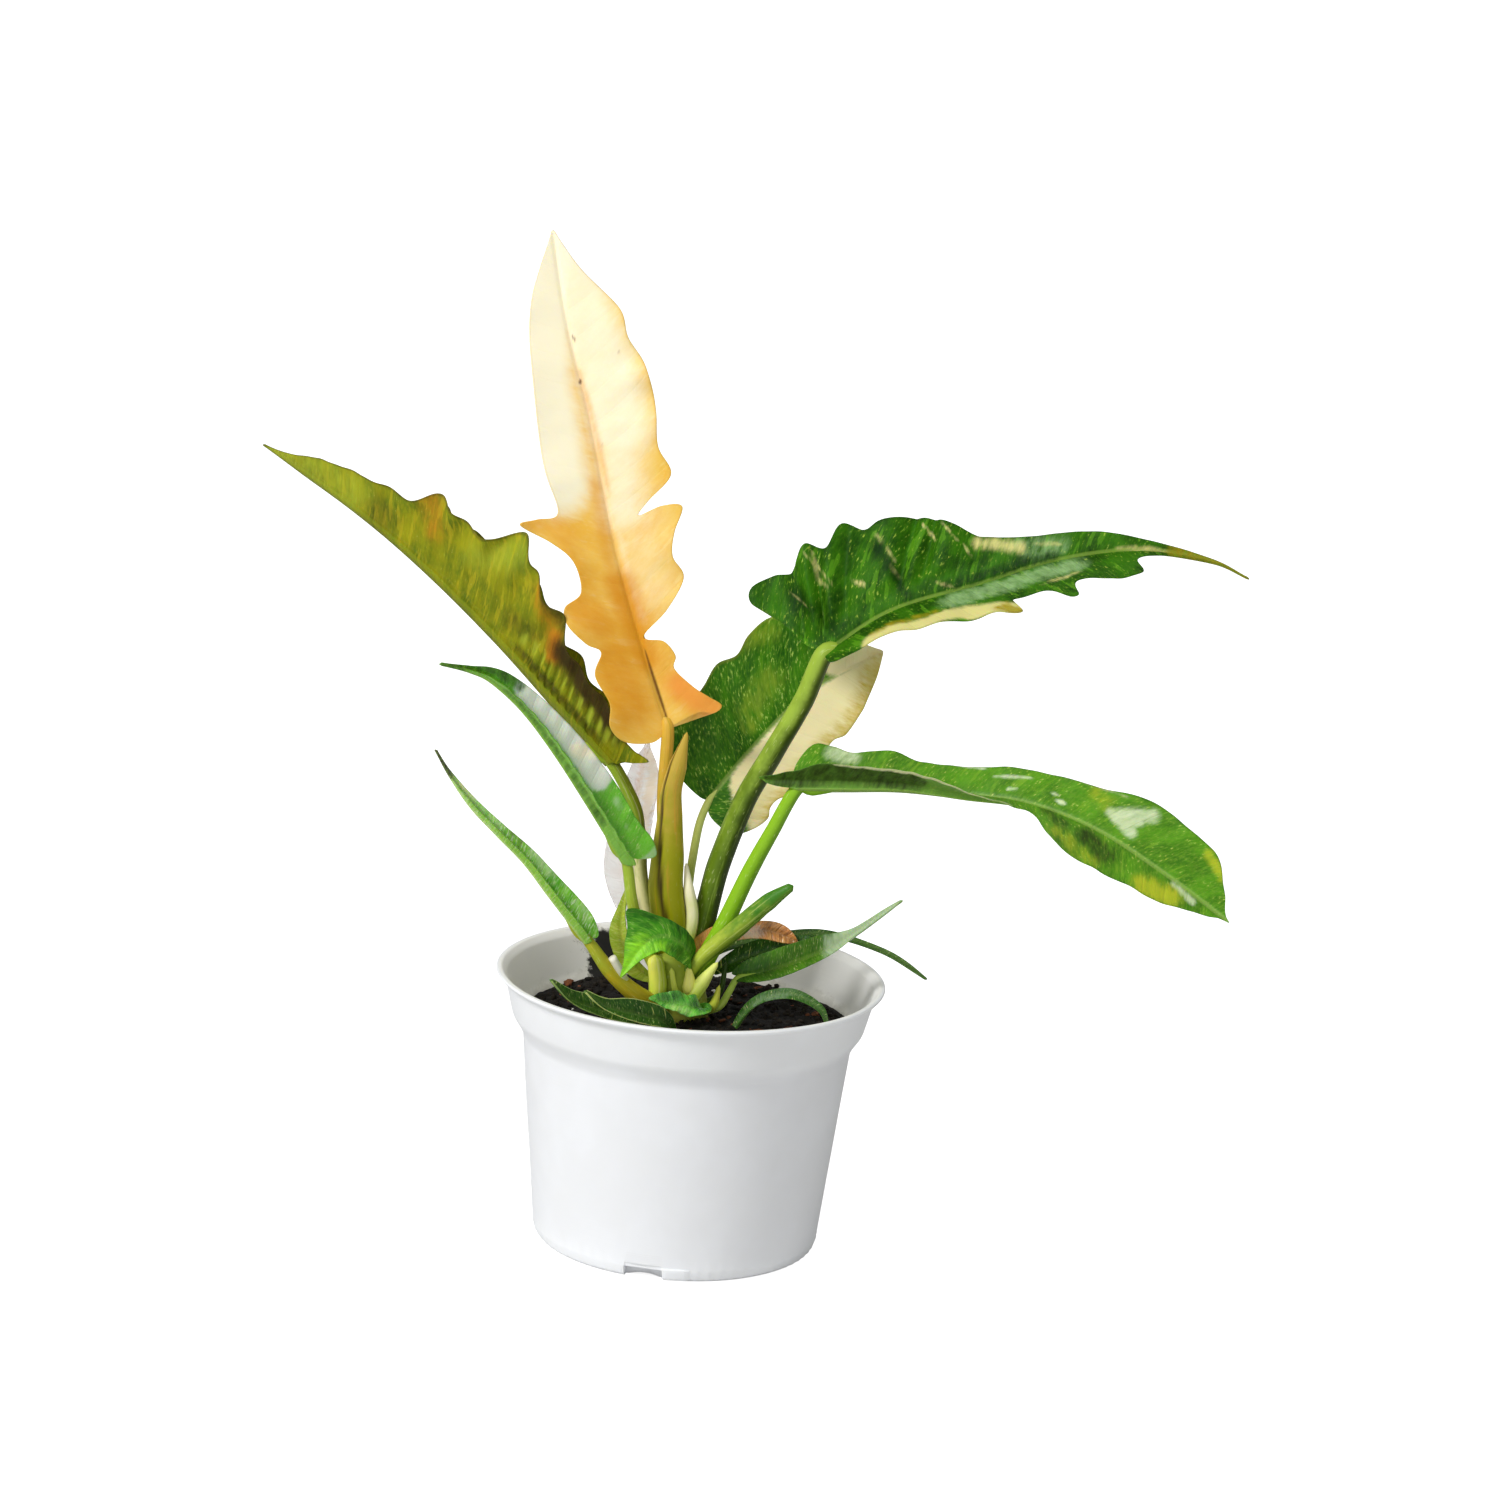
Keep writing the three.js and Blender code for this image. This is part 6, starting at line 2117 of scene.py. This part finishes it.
# Each kind of bit, with its material's name and colours
BITS = [
    (BitForm("soil_crumbs", 1500, (0.8, 3.6), 0.8, (0.1, 0.8), 31),
     "soil_crumbs", BitFinish("0d0c08", "2e2417")),
    (BitForm("soil_bark", 90, (1.6, 6.0), 0.35, (0.2, 1.0), 37),
     "bark", BitFinish("3a1f10", "8a5230")),
    (BitForm("soil_perlite", 26, (0.9, 2.4), 0.8, (0.4, 1.0), 41, PERLITE_SPOTS),
     "perlite", BitFinish("c9c4b8", "f4f1e8")),
]
SOIL_FINISH = BitFinish("090906", "211a11")


# Finishes of the leaves and stalks

LEAF_FINISHES: dict[str, LeafFinish] = {
    # The first tint also gives a painted highlight beside the rib. The fourth gives a painted shadow line
    # at the rib's foot, besides brown specks.
    "cream_leaf": LeafFinish(
        "leaf_cream", ground="f2c65c", ground_deep="e9b440", under="dcb455", rib="e2b238", vein="f0cd78",
        streak="f6dc9a", fleck="f3d690", edge="cf9f3a", tints=("fff1d2", "d8900a", "ee9a3c", "5e340a"),
        rib_share=0.55, vein_share=0.1, mottle_share=0.15, streak_share=0.25, fleck_share=0.2,
        streak_level=0.6, under_share=0.5, glow=0.4, scatter=(1.0, 0.8, 0.3), bump=0.15, edge_share=0.25,
        tear=0.7, seed=1.0,
    ),
    # The second tint also lays painted shadow along the rib, and the third painted highlights on the
    # pleats.
    "olive_leaf": LeafFinish(
        "leaf_olive", ground="959202", ground_deep="4f6602", under="97a017", rib="7f8c14", vein="a09c18",
        streak="b9a81c", fleck="c9c65a", edge="4a3c08", tints=("c07c10", "352303", "a9b430", "3a3620"),
        under_share=0.08, streak_level=0.56, streak_share=0.5, vein_share=0.2, specular=0.16,
        roughness=0.34, edge_share=0.6, fleck_level=0.66, tear=1.2, seed=2.0,
    ),
    # The fourth tint gives painted highlights.
    "channel_leaf": LeafFinish(
        "leaf_green", ground="7ccc38", ground_deep="62b224", under="8fb858", rib="9cc048", vein="8cc84c",
        streak="a3d862", tints=("e6eede", "fbf8d8", "35600c", "b4d49a"), specular=0.3, roughness=0.28,
        glow=0.5, seed=3.0,
    ),
    "slim_leaf": LeafFinish(
        "leaf_green", ground="96dc40", ground_deep="58b01c", under="9cc850", rib="c9dc90", vein="daf2b0",
        streak="d6f0a4", fleck="e6f6cc", tints=("c6dda4", "e6e9b4", "4a4038", "2b4a14"), fleck_level=0.54,
        fleck_share=0.9, fleck_length=2.4, mottle_share=0.25, glow=0.4, seed=4.0,
    ),
    # The first tint also gives a painted sheen, the second painted glints and the third painted shade.
    "arching_leaf": LeafFinish(
        "leaf_dark", ground="357005", ground_deep="163f02", under="5f8a3c", rib="8fae48", vein="4f8414",
        streak="5f9a1c", fleck="a9c24c", edge="1d3a08", tints=("8db173", "d4cc82", "0d3004", "a09018"),
        streak_level=0.58, streak_share=0.5, vein_share=0.08, mottle_share=0.22, specular=0.06,
        roughness=0.5, seed=5.0,
    ),
    "half_moon_leaf": LeafFinish(
        "leaf_green", ground="418009", ground_deep="215905", under="6b9438", rib="a9bf68", vein="6a9f20",
        streak="62991c", fleck="bcd66a", edge="9a8a3a", tints=("efe3b2", "cbb052", "86a02a", "d9a640"),
        fleck_level=0.57, streak_level=0.62, streak_share=0.4, vein_share=0.08, specular=0.12, seed=6.0,
    ),
    # The first tint also gives a painted highlight beside the rib.
    "twisting_leaf": LeafFinish(
        "leaf_green", ground="5a9a14", ground_deep="3c7208", under="6f9a3a", rib="9fc05c", vein="82b030",
        streak="86b22c", fleck="c9d868", tints=("d3e0b4", "b4bd28", "2a3f06", "d8d8a4"), fleck_level=0.61,
        streak_level=0.6, streak_share=0.45, vein_share=0.1, specular=0.2, seed=7.0,
    ),
    "blush_sheath": LeafFinish(
        "sheath_blush", ground="fff2ee", ground_deep="fce0da", under="ffeee8", rib="eeb0a8",
        vein="f4dcd8", streak="f6c4c4", fleck="fffaf2", edge="ecd0ca",
        tints=("f4b870", "fff2dc", "d08c58", "e8c090"), roughness=0.5, glow=1.0,
        scatter=(1.0, 0.93, 0.88), scatter_reach=8.0, rib_share=0.25, vein_share=0.0, mottle_share=0.1,
        streak_share=0.5, opacity=0.5, seed=8.0,
    ),
    "folded_leaf": LeafFinish(
        "leaf_bright", ground="4fa01a", ground_deep="1f6a08", under="7fa83a", rib="b4cf6c", vein="86c83c",
        streak="a8dc5c", tints=("9ce42c", "b4d850", "164c06", "2f7a10"), streak_level=0.62,
        vein_share=0.25, rib_share=0.12, fleck_share=0.4, seed=9.0,
    ),
    "olive_sheath": LeafFinish(
        "sheath", ground="b8c83c", ground_deep="8caa20", under="b4b95a", rib="8c9a2c", vein="dce080",
        rib_share=0.25, vein_share=0.3, roughness=0.42, seed=10.0,
    ),
    "dried_bract": LeafFinish(
        "bract", ground="ffc472", ground_deep="ee9c4c", under="f2b47c", rib="e0b080", vein="d08c48",
        streak="d9ab7c", fleck="4a260c", tints=("f8dcc8", "6a3710", "d8a58c", "e3b59c"),
        scatter=(1.0, 0.7, 0.4), rib_share=0.25, streak_level=0.6, roughness=0.3, specular=0.5, bump=0.6,
        seed=11.0,
    ),
    "low_leaf_right": LeafFinish(
        "leaf_green", ground="4a8410", ground_deep="2f6208", under="7c9f4c", rib="8fb44a", vein="7fa53c",
        tints=("b4c8a0", "c3d488", "2c5a0c", "e0e8b8"), rib_share=0.3, seed=12.0,
    ),
    "low_leaf_rear": LeafFinish(
        "leaf_dark", ground="2a5c08", ground_deep="17400a", under="5f8a3c", rib="5f8a2c", vein="4f8020",
        rib_share=0.3, seed=12.5,
    ),
    "grass_leaf": LeafFinish(
        "leaf_dark", ground="355f1c", ground_deep="264c12", under="5a8040", rib="7f9c54", vein="5f8838",
        rib_share=0.25, seed=13.0,
    ),
    "strap_leaf": LeafFinish(
        "leaf_green", ground="2f6414", ground_deep="1c4a0c", under="6c8a50", rib="93ac70", vein="6f9450",
        tints=("8fa884", "c3d488", "2c5a0c", "e0e8b8"), rib_share=0.15, roughness=0.42, seed=14.0,
    ),
    "front_leaf_left": LeafFinish(
        "leaf_green", ground="2f5a0f", ground_deep="1f4a10", under="5f7f3c", rib="8fa858", vein="5f8a34",
        edge="a9c070", edge_share=0.7, rib_share=0.1, seed=15.0,
    ),
    "front_leaf_low": LeafFinish(
        "leaf_green", ground="2c5a0f", ground_deep="1f4a10", under="5f7f3c", rib="9ab060", vein="5f8a34",
        edge="c3d080", edge_share=0.9, rib_share=0.1, seed=16.0,
    ),
    # The first tint gives painted highlights and the third painted shade in the creases.
    "ruffled_leaf": LeafFinish(
        "leaf_bright", ground="5cc832", ground_deep="1c7a0c", under="6f9c3a", rib="a4c860", vein="a8e070",
        tints=("c8f090", "b4d850", "0f4a08", "2f7a10"), rib_share=0.1, mottle_share=0.35, fleck_share=0.3,
        roughness=0.24, specular=0.5, seed=17.0,
    ),
}

# Some stalks have painted shade on one side.
STALK_FINISHES: dict[str, StalkFinish] = {
    "cream_stalk": StalkFinish(
        "stalk", foot="a8a81c", top="d9ac3c", stripe="8f8a1c", change=(0.2, 0.9), seed=1.0,
    ),
    "olive_stalk": StalkFinish(
        "stalk", foot="e3dba0", top="93ae24", stripe="f0e8bc", painted_shade="66700c", change=(0.35, 0.6),
        painted_shade_share=0.8, seed=2.0,
    ),
    "channel_stalk": StalkFinish(
        "stalk", foot="b5bf3c", top="9cb838", stripe="cfd35a", seed=3.0,
    ),
    "slim_stalk": StalkFinish(
        "stalk", foot="dcc22c", top="a9b430", stripe="ecd860", painted_shade="8a8a10", change=(0.3, 0.8),
        painted_shade_share=0.4, seed=4.0,
    ),
    "arching_stalk": StalkFinish(
        "stalk", foot="5f7a14", top="98b43c", stripe="a9c454", painted_shade="2f4006", change=(0.3, 0.85),
        painted_shade_share=0.9, seed=5.0,
    ),
    "half_moon_stalk": StalkFinish(
        "stalk", foot="c0d060", top="d0dc78", stripe="dce490", seed=6.0,
    ),
    "twisting_stalk": StalkFinish(
        "stalk", foot="8cc01c", top="8abb20", stripe="b3da50", painted_shade="5f9410", stripe_level=0.6,
        painted_shade_share=0.6, seed=7.0,
    ),
    "low_right_stalk": StalkFinish(
        "stalk", foot="b4cc5a", top="9cbf40", stripe="cfe07c", seed=8.0,
    ),
    "rolled_spear": StalkFinish(
        "spear", foot="b0b210", top="fac45c", stripe="d89434", seam="3c2c06", painted_shade="8a880c",
        painted_shade_share=0.6, speck_share=0.06, change=(0.35, 0.95), seed=9.0,
    ),
    "pale_sheath": StalkFinish(
        "sheath", foot="dce474", top="f8f0cc", stripe="ececb0", seed=10.0,
    ),
    "rolled_leaf": StalkFinish(
        "spear", foot="bccc48", top="3f7c1c", stripe="dce880", seam="4a6c14", painted_shade="5c8414",
        painted_shade_share=0.6, change=(0.25, 0.9), seed=11.0,
    ),
    "front_stem": StalkFinish(
        "sheath", foot="d8f050", top="f4f468", stripe="fffcc4", painted_shade="a8c81c", painted_shade_share=0.6,
        seed=12.0,
    ),
    "thin_stem": StalkFinish(
        "sheath", foot="d0e444", top="e4f068", stripe="f0f490", seed=13.0,
    ),
    "crown_bud": StalkFinish(
        "sheath", foot="e4ec54", top="f8f484", stripe="fcf8b0", seed=14.0,
    ),
    "front_sheath": StalkFinish(
        "sheath", foot="c8e044", top="e8f080", stripe="f4f8a4", seed=15.0,
    ),
    "side_bud": StalkFinish(
        "sheath", foot="b2c834", top="d4d650", stripe="e4e880", seed=16.0,
    ),
    "dark_stem": StalkFinish(
        "leaf_dark", foot="3f5c18", top="35521a", stripe="5f7a30", seed=17.0,
    ),
    "cut_stub": StalkFinish(
        "sheath_blush", foot="c4cc48", top="ece8d4", stripe="dfe0a0", roughness=0.55, seed=18.0,
    ),
    "stem_crown": StalkFinish(
        "crown", foot="6a5a24", top="a8b83a", stripe="7c8a2c", change=(0.3, 0.8), roughness=0.5,
        seed=19.0,
    ),
}


# Studio


@dataclass(frozen=True)
class Lamp:
    """A soft square light: where it stands, what it points at, its width and its power."""

    name: str
    place: Triple
    target: Triple
    width: float
    watts: float


@dataclass(frozen=True)
class Studio:
    """A pale floor, soft light and the photo's camera. Lengths are metres, but the lens is millimetres."""

    FLOOR_SIDES = 96
    SENSOR = 36.0
    CLIP_END = 100.0

    lens: float = 120.0
    distance: float = 2.044
    elevation_deg: float = 13.85
    roll_deg: float = 3.89
    target: Triple = (0.0205, 0.0, 0.2067)
    floor_radius: float = 14.0
    sky: float = 0.48
    floor_lift: float = 0.85
    lamps: tuple[Lamp, ...] = (
        Lamp("key_light", (-1.7, -1.5, 2.0), (0.0, 0.0, 0.2), 0.8, 56.0),
        Lamp("front_fill", (-0.5, -2.3, 0.5), (0.0, 0.0, 0.15), 1.0, 6.0),
    )

    def build(self) -> None:
        """Sets the floor, lights and camera up."""
        self._floor()
        for lamp in self.lamps:
            self._lamp(lamp)
        world = bpy.data.worlds.new("studio_sky")
        world.use_nodes = True
        sky = world.node_tree.nodes["Background"]
        sky.inputs["Color"].default_value = WHITE
        sky.inputs["Strength"].default_value = self.sky
        bpy.context.scene.world = world
        bpy.context.scene.view_settings.view_transform = "Standard"
        self._camera()

    def _floor(self) -> None:
        """Lays a large pale disc under the pot."""
        turn = turns(self.FLOOR_SIDES)
        rim = np.stack([np.cos(turn), np.sin(turn), 0 * turn], -1) * self.floor_radius
        surface = Surface("studio_floor")
        w, inputs = surface.wiring, surface.shader.inputs
        mesh = bpy.data.meshes.new("studio_floor")
        mesh.from_pydata(rim, [], [list(range(len(rim)))])
        mesh.materials.append(surface.material)
        inputs["Base Color"].default_value = (0.7, 0.7, 0.7, 1.0)
        inputs["Roughness"].default_value = 0.9
        inputs["Specular IOR Level"].default_value = 0.1
        inputs["Emission Color"].default_value = WHITE
        seen = w.node("ShaderNodeLightPath").outputs["Is Camera Ray"]
        w.feed(inputs["Emission Strength"], w.times(seen, self.floor_lift))
        floor = bpy.data.objects.new("studio_floor", mesh)
        bpy.context.scene.collection.objects.link(floor)

    @staticmethod
    def _lamp(lamp: Lamp) -> None:
        """Places one light."""
        data = bpy.data.lights.new(lamp.name, "AREA")
        data.size = lamp.width
        data.energy = lamp.watts
        light = bpy.data.objects.new(lamp.name, data)
        light.location = lamp.place
        aim = Vector(lamp.target) - Vector(lamp.place)
        light.rotation_euler = aim.to_track_quat("-Z", "Y").to_euler()
        bpy.context.scene.collection.objects.link(light)

    def _camera(self) -> None:
        """Places the camera where the photo was taken from."""
        up_angle, roll = math.radians(self.elevation_deg), math.radians(self.roll_deg)
        back = Vector((0.0, -math.cos(up_angle), math.sin(up_angle)))
        level = Vector((1.0, 0.0, 0.0))
        up = back.cross(level)
        right = math.cos(roll) * level + math.sin(roll) * up
        top = -math.sin(roll) * level + math.cos(roll) * up
        data = bpy.data.cameras.new("photo_camera")
        data.lens = self.lens
        data.sensor_width = self.SENSOR
        data.clip_end = self.CLIP_END
        data.dof.use_dof = False
        camera = bpy.data.objects.new("photo_camera", data)
        axes = Matrix((right, top, back)).transposed().to_4x4()
        axes.translation = Vector(self.target) + back * self.distance
        camera.matrix_world = axes
        bpy.context.scene.collection.objects.link(camera)
        bpy.context.scene.camera = camera


# The whole plant


class Plant:
    """All leaves, stalks and shoots, and the crown that they grow from."""

    def __init__(self, effects: Effects) -> None:
        """Prepares the blades, which the stalks need too."""
        self.effects = effects
        self.leaves = {form.name: Blade(form) for form in LEAF_FORMS + YOUNG_LEAF_FORMS}

    def build(self) -> None:
        """Makes every piece of the plant."""
        for name, blade in self.leaves.items():
            finish = LEAF_FINISHES[name]
            piece = blade.build(finish.dress(name, blade.form.vein_pitch, self.effects))
            seat(piece, finish.slot, blade.form.node or name)
        for form in [*STALK_FORMS, *SHOOT_FORMS, CROWN_FORM]:
            finish = STALK_FINISHES[form.name]
            piece = Stalk(form, self.leaves).build(finish.dress(form.name, self.effects))
            seat(piece, finish.slot, form.name)


class PottedSoil:
    """The pot and the potting mix in it."""

    def __init__(self, effects: Effects) -> None:
        """Keeps the shared node groups."""
        self.effects = effects

    def build(self) -> None:
        """Makes the pot, the bed and its bits."""
        pot_finish = PotFinish()
        seat(NurseryPot().build(pot_finish.dress(self.effects)), pot_finish.slot, "nursery_pot")
        bed = SoilBed()
        mix = bed.bed(SOIL_FINISH.dress("potting_mix", self.effects))
        bits = [bed.bits(form, finish.dress(name, self.effects)) for form, name, finish in BITS]
        for piece in (mix, *bits):
            seat(piece, "soil", "potting_soil")


def main() -> None:
    """Builds the object and the studio round it."""
    logging.basicConfig(level=logging.INFO, format="%(name)s: %(message)s")
    effects = Effects.build()
    Plant(effects).build()
    PottedSoil(effects).build()
    Studio().build()


if __name__ == "__main__":
    main()
